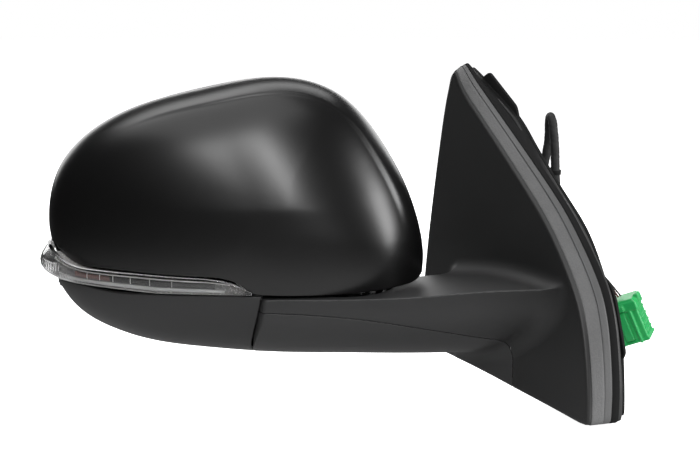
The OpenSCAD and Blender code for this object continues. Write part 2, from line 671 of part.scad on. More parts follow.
// rounded window; its corner radius adds to the width and height
module window(width, height, radius) {
  union() {
    square([width + 2*radius, height], center = true);
    square([width, height + 2*radius], center = true);
    for (x = [-width/2, width/2], y = [-height/2, height/2]) translate([x, y]) circle(r = radius);
  }
}
module head_frame() {
  color("#303236") in_head() difference() {
    union() {
      translate([0, -20, 0]) rotate([90, 0, 0]) linear_extrude(3) difference() {
        polygon([for (k = [0:59]) bezel_in(k/60, 9)]);
        translate(glass_mid) circle(r = 29);
        translate([-262, 62]) window(26, 34, 8);
        translate([-150, 112]) window(34, 10, 6);
        translate([-98, 84]) window(16, 14, 5);
      }
      boss_sites(-27.4) cylinder(r = 5, h = 9);
      // leg down to the lower cover
      translate([-238, -23, -14]) cube([40, 3, 40]);
      // pillars that carry the bezel
      for (t = [0.04, 0.2, 0.36, 0.52, 0.9]) let(q = bezel_in(t, 9.8))
        translate([q[0], -22, q[1]]) rotate([-90, 0, 0]) cylinder(r = 2.6, h = 26.9);
    }
    boss_sites(-30) cylinder(r = 1.5, h = 20);
    // room for the lamp
    translate([-330, -30, -20]) cube([80, 20, 62]);
    // room for the fold drive and its screws
    on_pivot() {
      cylinder(r = 24.6, h = 61.4);
      rotate(-fold_turn) translate([-37, -fold_reach - 9, 16]) cube([48, 20, 23]);
      fold_screw_sites(1) cylinder(r = 1.6, h = 20);
    }
  }
}
module housing_floor() {
  front_edge = [for (x = [-172:5:-97]) [x, front_y(x, 13) + 4.6]];
  color("#26272a") in_head() difference() {
    intersection() {
      translate([0, 0, 12.6]) linear_extrude(2)
        polygon(concat(front_edge, [[-97, -13.4], [-172, -13.4]]));
      on_pivot() cylinder(r = 61, h = 20);
    }
    on_pivot() cylinder(r = 24.6, h = 30);
  }
}

// ---------- glass actuator ----------
// sites in the axes of at_glass
module case_bosses(z) {
  for (angle = thirds) rotate(-angle) translate([boss_ring_r, 0, z]) children();
}
module jack_sites(z) {
  for (site = [[jack_arm, 0], [0, jack_arm]]) translate([site[0], site[1], z]) children();
}
module actuator_base() {
  color("#1e1f21") at_glass(actuator_y) difference() {
    union() {
      difference() {
        cylinder(r = case_r, h = 8);
        translate([0, 0, 2]) cylinder(r = case_r - 2, h = 10);
        case_bosses(3) cylinder(r = 5.2, h = 10);
      }
      case_bosses(0) cylinder(r = 5, h = 3);
      // thrust seats for the jack nuts
      jack_sites(1) cylinder(r = 4.8, h = 2.4);
      // bearing blocks for the worms
      for (side = [-1, 1]) {
        translate([worm_x - 2.6, side*6.6 - 0.8, 1]) cube([5.2, 1.6, 9.4]);
        translate([side*6.6 - 0.8, worm_x - 2.6, 1]) cube([1.6, 5.2, 9.4]);
      }
    }
    case_bosses(-1) cylinder(r = 1.7, h = 5);
    jack_sites(-1) cylinder(r = 3.2, h = 6);
    translate([worm_x, 9, jack_worm_z]) rotate([90, 0, 0]) cylinder(r = 1.16, h = 18);
    translate([-9, worm_x, jack_worm_z]) rotate([0, 90, 0]) cylinder(r = 1.16, h = 18);
  }
}
module actuator_cover() {
  color("#27282b") at_glass(-10) difference() {
    union() {
      difference() {
        cylinder(r = case_r, h = 7);
        translate([0, 0, -1]) cylinder(r = case_r - 2, h = 6);
        case_bosses(-1) cylinder(r = 5.2, h = 10);
      }
      // ears that carry the gimbal on its upright pins
      for (side = [-1, 1]) translate([-3.2, side*12 - 1.6, 5]) cube([6.4, 3.2, 9.6]);
    }
    translate([0, 20, 12]) rotate([90, 0, 0]) cylinder(r = 1.56, h = 40);
    jack_sites(0) {
      translate([0, 0, -1]) cylinder(r = 3.6, h = 10);
      translate([0, 0, 5.6]) cylinder(r = 7.6, h = 10);
    }
  }
}
module actuator_screws() { color("silver") in_head() boss_sites(-26) screw(1.45, 2.8, 10.9); }

// round motor can with two flats
module can() {
  union() {
    intersection() {
      cylinder(r = 5.6, h = 16);
      translate([-5.6, -4.9, 0]) cube([11.2, 9.8, 16]);
    }
    translate([0, 0, 16]) cylinder(r = 2, h = 1);
  }
}
module pan_motor() {
  color("#a4a8ab") at_glass(actuator_y)
    translate([worm_x, -8.6, jack_worm_z]) rotate([90, 0, 0]) can();
}
module tilt_motor() {
  color("#a4a8ab") at_glass(actuator_y)
    translate([-8.6, worm_x, jack_worm_z]) rotate([0, -90, 0]) rotate(90) can();
}
module jack_worm() { worm(jack_worm_r, 0.7, jack_pitch, 3, 1.1); }
module pan_worm() {
  color("#e3ddc8") at_glass(actuator_y)
    translate([worm_x, 0, jack_worm_z]) rotate([90, 0, 0]) rotate(180) jack_worm();
}
module tilt_worm() {
  color("#e3ddc8") at_glass(actuator_y)
    translate([0, worm_x, jack_worm_z]) rotate([0, 90, 0]) rotate(-90) jack_worm();
}
module nut() {
  difference() {
    union() {
      translate([0, 0, -1.2]) wheel(jack_teeth, jack_pitch, 2.4, 0.65);
      translate([0, 0, -4.6]) cylinder(r = 5, h = 9.2);
    }
    translate([0, 0, -6]) cylinder(r = 2.55, h = 12);
  }
}
module pan_nut() {
  color("#efe9d6") at_glass(actuator_y) translate([jack_arm, 0, jack_worm_z]) rotate(180) nut();
}
module tilt_nut() {
  color("#efe9d6") at_glass(actuator_y) translate([0, jack_arm, jack_worm_z]) rotate(-90) nut();
}
// ball-ended jack screw
module jack() {
  union() {
    translate([0, 0, -16.5]) cylinder(r = 2.5, h = 16.5);
    sphere(r = 3.1);
  }
}
module pan_jack() { color("#f2f0ea") at_glass(gimbal_y) translate([jack_arm, 0, 0]) jack(); }
module tilt_jack() { color("#f2f0ea") at_glass(gimbal_y) translate([0, jack_arm, 0]) jack(); }
module gimbal_ring() {
  color("#d9d4c4") at_glass(gimbal_y) union() {
    translate([0, 0, -2]) tube(8.6, 5.4, 4, 6);
    for (side = [-1, 1]) {
      translate([0, side*10.6, 0]) rotate([90, 0, 0]) cylinder(r = 1.5, h = 6.4, center = true);
      translate([side*10.6, 0, 0]) rotate([0, 90, 0]) cylinder(r = 1.5, h = 6.4, center = true);
    }
  }
}

// ---------- glass ----------
glass_crown_y = 14;
// slab between two spherical faces at depths near and far in front of the crown,
// cut to the bezel outline less an inset
module glass_slab(inset, near, far) {
  around = 48;
  rings = 5;
  rim = [for (k = [0:around-1]) bezel_in(k/around, inset)];
  function point(j, k, depth) = let(q = (rim[k] - glass_mid)*j/rings)
    [glass_mid[0] + q[0],
     glass_crown_y - glass_radius + sqrt(pow(glass_radius - depth, 2) - q*q),
     glass_mid[1] + q[1]];
  function face(depth) =
    concat([point(0, 0, depth)], [for (j = [1:rings], k = [0:around-1]) point(j, k, depth)]);
  function id(side, j, k) =
    side*(around*rings + 1) + (j == 0 ? 0 : 1 + (j-1)*around + k%around);
  in_head() polyhedron(convexity = 4, points = concat(face(near), face(far)), faces = concat(
    [for (k = [0:around-1]) [id(0, 0, 0), id(0, 1, k), id(0, 1, k+1)]],
    [for (k = [0:around-1]) [id(1, 0, 0), id(1, 1, k+1), id(1, 1, k)]],
    [for (j = [1:rings-1], k = [0:around-1])
      each halves(id(0, j, k), id(0, j+1, k), id(0, j+1, k+1), id(0, j, k+1))],
    [for (j = [1:rings-1], k = [0:around-1])
      each halves(id(1, j, k), id(1, j, k+1), id(1, j+1, k+1), id(1, j+1, k))],
    [for (k = [0:around-1])
      each halves(id(0, rings, k), id(1, rings, k), id(1, rings, k+1), id(0, rings, k+1))]));
}
module mirror_glass() { color("#c9d3da") glass_slab(14.5, 0, glass_t); }
module heater_pad() { color("#3c3c3e") glass_slab(16, glass_t + 0.1, glass_t + 0.5); }
module glass_holder() {
  color("#222326") difference() {
    moulded() {
      glass_slab(15.5, glass_t + 0.6, glass_t + 2.6);
      at_glass() translate([0, 0, 7.6]) cylinder(r = 30, h = 2.4, $fn = 64);
      // ears on the gimbal's level pins
      at_glass() for (side = [-1, 1])
        translate([side*12 - 1.6, -3.2, gimbal_y - 2.7]) cube([3.2, 6.4, 9]);
      // cups for the jack screws
      at_glass() jack_sites(gimbal_y - 1.2) cylinder(r = 6.2, h = 8.2 - gimbal_y + 1.2, $fn = 48);
    }
    at_glass(gimbal_y) translate([-20, 0, 0]) rotate([0, 90, 0]) cylinder(r = 1.56, h = 40);
    at_glass() jack_sites(gimbal_y - 3) cylinder(r = 4.5, h = 6.3);
  }
}

// ---------- wiring inside the head ----------
// main run up through the hollow pivot, and the branch off it, in head axes
head_run = [[-110, -31, -4.9], [-110, -31, 20], [-110, -31, 56], [-111, -32, 68],
  [-118, -42, 79], [-134, -48, 84], [-150, -46, 80], [-161, -38, 74], [-166, -28, 70],
  [-168, -19, 69]];
branch_run = [[-150, -46, 80], [-166, -49, 64], [-178, -47, 44], [-192, -42, 30],
  [-204, -38, 24]];
module head_harness() {
  color("#161616") in_head() moulded() {
    cord(trace(head_run, 20), 2.6, 8);
    cord(trace(branch_run, 10), 1.6, 6);
  }
}

foot_cover();
arm_lower_cover();
base_bracket();
cover_screws();
door_gasket();
cable_grommet();
door_harness();
harness_wires();
harness_plug();
plug_terminals();
cable_tie();
pivot_shaft();
detent_ring();
fold_gear();
clutch_spring();
spring_washer();
shaft_circlip();
head_frame();
front_cover();
lower_cover();
rear_bezel();
housing_floor();
lamp_lens();
lamp_housing();
lamp_light_guide();
lamp_board();
fold_housing();
fold_cap();
pivot_bush();
fold_motor();
fold_worm();
fold_screws();
actuator_base();
actuator_cover();
actuator_screws();
pan_motor();
tilt_motor();
pan_worm();
tilt_worm();
pan_nut();
tilt_nut();
pan_jack();
tilt_jack();
gimbal_ring();
glass_holder();
heater_pad();
mirror_glass();
head_harness();
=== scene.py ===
import json
import math

import bpy
import bmesh
import numpy as np
from mathutils import Matrix, Quaternion, Vector, Quaternion


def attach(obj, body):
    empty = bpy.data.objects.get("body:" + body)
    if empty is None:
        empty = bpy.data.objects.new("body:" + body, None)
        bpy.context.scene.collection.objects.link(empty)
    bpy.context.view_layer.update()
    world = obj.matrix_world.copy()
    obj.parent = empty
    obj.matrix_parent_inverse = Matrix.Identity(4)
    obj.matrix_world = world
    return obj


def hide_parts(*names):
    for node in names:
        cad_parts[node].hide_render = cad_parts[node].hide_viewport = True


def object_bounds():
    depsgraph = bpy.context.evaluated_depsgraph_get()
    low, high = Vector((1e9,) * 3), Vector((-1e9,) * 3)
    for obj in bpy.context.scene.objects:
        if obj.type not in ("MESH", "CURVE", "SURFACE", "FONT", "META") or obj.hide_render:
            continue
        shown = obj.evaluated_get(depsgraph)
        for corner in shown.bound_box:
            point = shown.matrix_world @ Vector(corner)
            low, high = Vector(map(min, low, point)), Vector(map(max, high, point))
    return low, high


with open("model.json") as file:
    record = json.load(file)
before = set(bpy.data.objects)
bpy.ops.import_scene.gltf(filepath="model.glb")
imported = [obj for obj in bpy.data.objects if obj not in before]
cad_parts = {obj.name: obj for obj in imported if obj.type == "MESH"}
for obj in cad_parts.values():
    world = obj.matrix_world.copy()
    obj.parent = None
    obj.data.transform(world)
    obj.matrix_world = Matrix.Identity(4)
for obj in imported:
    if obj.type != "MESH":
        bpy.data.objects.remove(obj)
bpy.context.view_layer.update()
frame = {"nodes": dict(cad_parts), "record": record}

RECORD = frame["record"]
SWEEP = math.radians(35.0)
S, C = math.sin(SWEEP), math.cos(SWEEP)


# ---------------------------------------------------------------- frames and curves (millimetres in, metres out)
def row(P):
    """Head axes (u along the head, v rearward, w up), mm, to the row frame, m."""
    P = np.asarray(P, float)
    u, v, w = P[..., 0], P[..., 1], P[..., 2]
    return np.stack([u * C + v * S, -u * S + v * C, w], -1) * 0.001


def ease(t):
    return t * t * (3 - 2 * t)


def c01(t):
    return np.clip(t, 0.0, 1.0)


def unit(v):
    v = np.asarray(v, float)
    return v / np.maximum(1e-12, np.linalg.norm(v, axis=-1, keepdims=True))


def loop_at(c, t):
    c = np.asarray(c, float)
    t = np.asarray(t, float)
    n = len(c)
    i = np.floor(t).astype(int)
    f = t - i
    g = lambda k: c[(i + k) % n]
    if c.ndim > 1:
        f = f[..., None]
    return ((1 - f) ** 3 * g(-1) + (3 * f ** 3 - 6 * f * f + 4) * g(0) + (-3 * f ** 3 + 3 * f * f + 3 * f + 1) * g(1) + f ** 3 * g(2)) / 6


def line_at(p, t):
    p = np.asarray(p, float)
    n = len(p) - 1
    x = np.clip(np.asarray(t, float), 0, 1) * n
    i = np.minimum(np.floor(x).astype(int), n - 1)
    f = x - i
    a, b, c, d = p[np.maximum(i - 1, 0)], p[i], p[i + 1], p[np.minimum(i + 2, n)]
    if p.ndim > 1:
        f = f[..., None]
    return 0.5 * (2 * b + (c - a) * f + (2 * a - 5 * b + 4 * c - d) * f * f + (3 * b - a - 3 * c + d) * f ** 3)


PV = np.array([-110.0, -31.0])
GC = np.array([-183.0, 74.0])
V_RIM = -11.0
POLE = np.array([-165.0, 50.0])
CREASE = 63.0
DEPTH = 56.0
RIM_IN = np.array([99.3, 94, 91.4, 92.8, 95.4, 95, 93.4, 93, 97.5, 109, 125, 140, 143, 140.5, 131, 112.5, 97.5, 90, 88.5, 93, 101, 108, 112, 107])
RIM_C = RIM_IN + (RIM_IN - (np.roll(RIM_IN, 1) + 4 * RIM_IN + np.roll(RIM_IN, -1)) / 6)


def rim_r(phi):
    return loop_at(RIM_C, np.asarray(phi, float) / 15.0)


def polar(u, w):
    return np.degrees(np.arctan2(w - POLE[1], u - POLE[0]))


def rim_pt(phi):
    phi = np.asarray(phi, float)
    r = rim_r(phi)
    return np.stack([POLE[0] + r * np.cos(np.radians(phi)), POLE[1] + r * np.sin(np.radians(phi))], -1)


def rho(u, w):
    return np.hypot(u - POLE[0], w - POLE[1]) / rim_r(polar(u, w))


def swell(phi):
    return 2.45 + 0.35 * np.cos(np.radians(phi))


def bulge(u, w):
    return np.sqrt(np.maximum(0, 1 - np.minimum(1, rho(u, w)) ** swell(polar(u, w))))


def soft_over(x, e):
    return 0.5 * (x + np.sqrt(x * x + e * e))


def lean(u, w, e=0.0):
    over = np.maximum(0, w - CREASE) if e == 0 else soft_over(w - CREASE, e)
    return 1 - 0.24 * ease(c01((u + 298) / 200)) * over / 80


def face_v(u, w, e=0.0):
    return V_RIM - DEPTH * bulge(u, w) * lean(u, w, e)


def skin_n(u, v, w):
    e = 0.5
    r = rho(u, w)
    p = swell(polar(u, w))
    k = p * r ** (p - 1)
    g = np.stack([k * (rho(u + e, w) - rho(u - e, w)) / (2 * e), -2 * (V_RIM - v) / DEPTH ** 2, k * (rho(u, w + e) - rho(u, w - e)) / (2 * e)], -1)
    return unit(g)


# ---------------------------------------------------------------- mesh helpers
def new_mesh(name, verts, faces, body, mat, replaces=(), smooth=35.0):
    me = bpy.data.meshes.new(name)
    me.from_pydata([tuple(p) for p in np.asarray(verts, float)], [], faces)
    me.validate(verbose=False)
    me.update()
    ob = bpy.data.objects.new(name, me)
    bpy.context.scene.collection.objects.link(ob)
    bm = bmesh.new()
    bm.from_mesh(me)
    bmesh.ops.remove_doubles(bm, verts=bm.verts, dist=1e-7)
    bmesh.ops.recalc_face_normals(bm, faces=bm.faces)
    if smooth:
        lim = math.radians(smooth)
        for f in bm.faces:
            f.smooth = True
        for e in bm.edges:
            if len(e.link_faces) == 2 and e.calc_face_angle(0.0) > lim:
                e.smooth = False
    bm.to_mesh(me)
    bm.free()
    me.materials.append(mat)
    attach(ob, body)
    if replaces:
        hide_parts(*replaces)
    return ob


def grid_faces(n, m, off=0, wrap_n=False, wrap_m=False):
    """Quads of an n by m point grid."""
    i, j = np.meshgrid(np.arange(n if wrap_n else n - 1), np.arange(m if wrap_m else m - 1), indexing="ij")
    i, j = i.ravel(), j.ravel()
    i2, j2 = (i + 1) % n, (j + 1) % m
    return (np.stack([i * m + j, i2 * m + j, i2 * m + j2, i * m + j2], -1) + off).tolist()


def resample(G, edge, n):
    """Resamples lines along axis 0 by arc length, with close stations over the last `edge` mm of each end."""
    seg = np.linalg.norm(np.diff(G, axis=0), axis=-1)
    L = np.vstack([np.zeros(G.shape[1]), np.cumsum(seg, 0)])
    near = edge * np.array([0, 0.06, 0.16, 0.32, 0.55, 0.8])
    out = []
    for b in range(G.shape[1]):
        T = L[-1, b]
        k = min(1.0, 0.45 * T / max(edge, 1e-9))
        s = np.concatenate([near * k, np.linspace(edge * k, T - edge * k, n), T - (near * k)[::-1]])
        out.append(np.stack([np.interp(s, L[:, b], G[:, b, c]) for c in range(G.shape[2])], -1))
    return np.stack(out, 1)


def border_distance(G):
    a = np.linalg.norm(np.diff(G, axis=0), axis=-1)
    b = np.linalg.norm(np.diff(G, axis=1), axis=-1)
    A = np.concatenate([np.zeros((1, G.shape[1])), np.cumsum(a, 0)], 0)
    B = np.concatenate([np.zeros((G.shape[0], 1)), np.cumsum(b, 1)], 1)
    return A, A[-1:] - A, B, B[:, -1:] - B


def grid_normals(G):
    gi = np.gradient(G, axis=0)
    gj = np.gradient(G, axis=1)
    return unit(np.cross(gi, gj))


def roll(d, r):
    d = np.clip(d, 0, r)
    return r - np.sqrt(np.maximum(0, r * r - (r - d) ** 2))


def shell_from_grid(G, N, thick, r=0.7, sides=(1, 1, 1, 1), inner=None):
    """Closed moulded wall from a dense outer grid: rounded edges on the chosen sides (start/end of axis 0, start/end of axis 1)."""
    D = border_distance(G)
    off = np.zeros(G.shape[:2])
    for k in range(4):
        if sides[k]:
            off = np.maximum(off, roll(D[k], r))
    O = G - N * off[..., None]
    I = (G - N * thick) if inner is None else inner
    n, m = G.shape[:2]
    V = np.concatenate([O.reshape(-1, 3), I.reshape(-1, 3)])
    K = n * m
    F = grid_faces(n, m)
    F += [f[::-1] for f in grid_faces(n, m, K)]
    idx = lambda i, j: i * m + j
    for i in range(n - 1):
        F.append([idx(i, 0), idx(i + 1, 0), K + idx(i + 1, 0), K + idx(i, 0)])
        F.append([idx(i, m - 1), K + idx(i, m - 1), K + idx(i + 1, m - 1), idx(i + 1, m - 1)])
    for j in range(m - 1):
        F.append([idx(0, j), K + idx(0, j), K + idx(0, j + 1), idx(0, j + 1)])
        F.append([idx(n - 1, j), idx(n - 1, j + 1), K + idx(n - 1, j + 1), K + idx(n - 1, j)])
    return V, F


def hoop(P):
    """Closed ring from stations (n, m, 3), both ways round."""
    n, m = P.shape[:2]
    return P.reshape(-1, 3), grid_faces(n, m, 0, True, True)


def rod(P):
    """Solid through stations (n, m, 3) with rounded-off flat ends."""
    n, m = P.shape[:2]
    V = np.concatenate([P.reshape(-1, 3), P[0].mean(0)[None], P[-1].mean(0)[None]])
    F = grid_faces(n, m, 0, False, True)
    a, b = n * m, n * m + 1
    for j in range(m):
        F.append([a, (j + 1) % m, j])
        F.append([b, (n - 1) * m + j, (n - 1) * m + (j + 1) % m])
    return V, F


def frames_along(P):
    T = unit(np.gradient(P, axis=0))
    a = unit(np.cross(T[0], [0.31, 0.87, 0.38]))
    A = [a]
    for k in range(1, len(P)):
        a = A[-1] - T[k] * np.dot(A[-1], T[k])
        A.append(unit(a))
    A = np.array(A)
    return T, A, np.cross(T, A)


def cord(P, r, sides=20, ends=0.5, bump=None):
    """Round cord along dense points; r may vary along it, bump(k, angle) adds to it."""
    P = np.asarray(P, float)
    T, A, B = frames_along(P)
    n = len(P)
    L = np.concatenate([[0], np.cumsum(np.linalg.norm(np.diff(P, axis=0), axis=-1))])
    r = np.broadcast_to(np.asarray(r, float), (n,)).copy()
    d = np.minimum(L, L[-1] - L)
    rr = r - roll(d, ends)
    ang = np.linspace(0, 2 * math.pi, sides, endpoint=False)
    R = rr[:, None] + (bump(L[:, None], ang[None, :]) if bump is not None else 0)
    st = P[:, None, :] + R[..., None] * (A[:, None, :] * np.cos(ang)[None, :, None] + B[:, None, :] * np.sin(ang)[None, :, None])
    return rod(st)


def join_parts(parts):
    V, F, o = [], [], 0
    for v, f in parts:
        v = np.asarray(v, float)
        V.append(v)
        F += [[a + o for a in q] for q in f]
        o += len(v)
    return np.concatenate(V), F


def rounded_box(size, r, centre=(0, 0, 0), seg=4):
    """Box with rolled edges and corners, as a welded grid mesh."""
    sx, sy, sz = [s / 2 for s in size]
    r = min(r, sx, sy, sz) * 0.999
    bm = bmesh.new()
    bmesh.ops.create_cube(bm, size=1.0)
    for v in bm.verts:
        v.co = Vector((v.co.x * 2 * sx, v.co.y * 2 * sy, v.co.z * 2 * sz))
    bmesh.ops.bevel(bm, geom=list(bm.edges), offset=r, segments=seg, profile=0.5, affect="EDGES")
    V = np.array([v.co for v in bm.verts]) + np.array(centre)
    F = [[v.index for v in f.verts] for f in bm.faces]
    bm.free()
    return V, F


# ---------------------------------------------------------------- materials
def material(name, base, rough=0.5, metal=0.0, grain=(0.6, 0.25, 0.03), orange=(0.0, 0.0), tint=0.12, rvar=0.08,
             wear_and_edge_sheen=0.0, spec=0.5, trans=0.0, ior=1.5, coat=0.0, coat_rough=0.1, sub=0.0, aniso=0.0, streak=None, weave=None, alpha=1.0, painted_shade_ramp=None):
    """Procedural finish. grain = (feature size mm, bump strength, bump depth mm); orange = slow waviness (size mm,
    depth mm). Convex edges are lightened as wear and as a painted edge highlight; the optional ramp along object X
    darkens the base colour as painted shade.
    """
    m = bpy.data.materials.new(name)
    m.use_nodes = True
    nt = m.node_tree
    nd, ln = nt.nodes, nt.links
    nd.clear()
    out = nd.new("ShaderNodeOutputMaterial")
    b = nd.new("ShaderNodeBsdfPrincipled")
    ln.new(b.outputs[0], out.inputs[0])
    tc = nd.new("ShaderNodeTexCoord")

    def noise(size_mm, detail=3.0, rough_=0.55):
        n = nd.new("ShaderNodeTexNoise")
        n.inputs["Scale"].default_value = 1000.0 / size_mm
        n.inputs["Detail"].default_value = detail
        n.inputs["Roughness"].default_value = rough_
        ln.new(tc.outputs["Object"], n.inputs["Vector"])
        return n

    fine = noise(grain[0])
    slow = noise(22.0, 2.0)
    mix = nd.new("ShaderNodeMix")
    mix.data_type = "RGBA"
    lo = [max(0.0, c * (1 - tint)) for c in base]
    hi = [min(1.0, c * (1 + tint)) for c in base]
    mix.inputs[6].default_value = (*lo, 1)
    mix.inputs[7].default_value = (*hi, 1)
    add = nd.new("ShaderNodeMath")
    add.operation = "MULTIPLY_ADD"
    ln.new(fine.outputs["Fac"], add.inputs[0])
    add.inputs[1].default_value = 0.5
    half = nd.new("ShaderNodeMath")
    half.operation = "MULTIPLY"
    ln.new(slow.outputs["Fac"], half.inputs[0])
    half.inputs[1].default_value = 0.5
    ln.new(half.outputs[0], add.inputs[2])
    ln.new(add.outputs[0], mix.inputs[0])
    colour = mix.outputs[2]
    # painted shade: scales the base colour down along object X, from 1 to the given factor, so the sail face of the
    # foot moulding reads darker
    if painted_shade_ramp:
        sep = nd.new("ShaderNodeSeparateXYZ")
        ln.new(tc.outputs["Object"], sep.inputs[0])
        run = nd.new("ShaderNodeMapRange")
        run.interpolation_type = "SMOOTHSTEP"
        run.inputs["From Min"].default_value = painted_shade_ramp[0]
        run.inputs["From Max"].default_value = painted_shade_ramp[1]
        run.inputs["To Min"].default_value = 1.0
        run.inputs["To Max"].default_value = painted_shade_ramp[2]
        ln.new(sep.outputs["X"], run.inputs["Value"])
        painted_shade_mix = nd.new("ShaderNodeVectorMath")
        painted_shade_mix.operation = "SCALE"
        ln.new(colour, painted_shade_mix.inputs[0])
        ln.new(run.outputs["Result"], painted_shade_mix.inputs["Scale"])
        colour = painted_shade_mix.outputs[0]
    # lightens convex edges by pointiness: partly rubbed wear, partly a painted edge highlight
    if wear_and_edge_sheen > 0:
        geo = nd.new("ShaderNodeNewGeometry")
        ramp = nd.new("ShaderNodeMapRange")
        ramp.inputs["From Min"].default_value = 0.54
        ramp.inputs["From Max"].default_value = 0.66
        ramp.inputs["To Max"].default_value = wear_and_edge_sheen
        ln.new(geo.outputs["Pointiness"], ramp.inputs["Value"])
        wear_sheen_mix = nd.new("ShaderNodeMix")
        wear_sheen_mix.data_type = "RGBA"
        ln.new(ramp.outputs[0], wear_sheen_mix.inputs[0])
        ln.new(colour, wear_sheen_mix.inputs[6])
        wear_sheen_mix.inputs[7].default_value = (*[min(1.0, c * 1.6 + 0.03) for c in base], 1)
        colour = wear_sheen_mix.outputs[2]
    ln.new(colour, b.inputs["Base Color"])
    rr = nd.new("ShaderNodeMapRange")
    rr.inputs["To Min"].default_value = max(0.0, rough - rvar)
    rr.inputs["To Max"].default_value = min(1.0, rough + rvar)
    ln.new(add.outputs[0], rr.inputs["Value"])
    ln.new(rr.outputs[0], b.inputs["Roughness"])
    height = None
    if grain[1] > 0:
        bp = nd.new("ShaderNodeBump")
        bp.inputs["Strength"].default_value = grain[1]
        bp.inputs["Distance"].default_value = grain[2] * 0.001
        ln.new(fine.outputs["Fac"], bp.inputs["Height"])
        height = bp
    if streak is not None:
        mp = nd.new("ShaderNodeMapping")
        mp.inputs["Scale"].default_value = streak
        ln.new(tc.outputs["Object"], mp.inputs["Vector"])
        sn = nd.new("ShaderNodeTexNoise")
        sn.inputs["Scale"].default_value = 1000.0
        ln.new(mp.outputs[0], sn.inputs["Vector"])
        b2 = nd.new("ShaderNodeBump")
        b2.inputs["Strength"].default_value = 0.3
        b2.inputs["Distance"].default_value = 0.00002
        ln.new(sn.outputs["Fac"], b2.inputs["Height"])
        if height is not None:
            ln.new(height.outputs[0], b2.inputs["Normal"])
        height = b2
    if weave is not None:
        wv = nd.new("ShaderNodeTexWave")
        wv.inputs["Scale"].default_value = 1000.0 / weave / 3.0
        wv.inputs["Distortion"].default_value = 1.0
        ln.new(tc.outputs["Object"], wv.inputs["Vector"])
        b3 = nd.new("ShaderNodeBump")
        b3.inputs["Strength"].default_value = 0.5
        b3.inputs["Distance"].default_value = 0.0001
        ln.new(wv.outputs["Fac"], b3.inputs["Height"])
        if height is not None:
            ln.new(height.outputs[0], b3.inputs["Normal"])
        height = b3
    if orange[1] > 0:
        on = noise(orange[0], 1.0)
        b4 = nd.new("ShaderNodeBump")
        b4.inputs["Strength"].default_value = 1.0
        b4.inputs["Distance"].default_value = orange[1] * 0.001
        ln.new(on.outputs["Fac"], b4.inputs["Height"])
        if height is not None:
            ln.new(height.outputs[0], b4.inputs["Normal"])
        height = b4
    if height is not None:
        ln.new(height.outputs[0], b.inputs["Normal"])
    b.inputs["Metallic"].default_value = metal
    b.inputs["Specular IOR Level"].default_value = spec
    b.inputs["IOR"].default_value = ior
    b.inputs["Transmission Weight"].default_value = trans
    b.inputs["Coat Weight"].default_value = coat
    b.inputs["Coat Roughness"].default_value = coat_rough
    b.inputs["Alpha"].default_value = alpha
    if sub > 0:
        b.inputs["Subsurface Weight"].default_value = sub
        b.inputs["Subsurface Radius"].default_value = (0.0015, 0.003, 0.0015)
        b.inputs["Subsurface Scale"].default_value = 1.0
    if aniso > 0:
        b.inputs["Anisotropic"].default_value = aniso
    return m


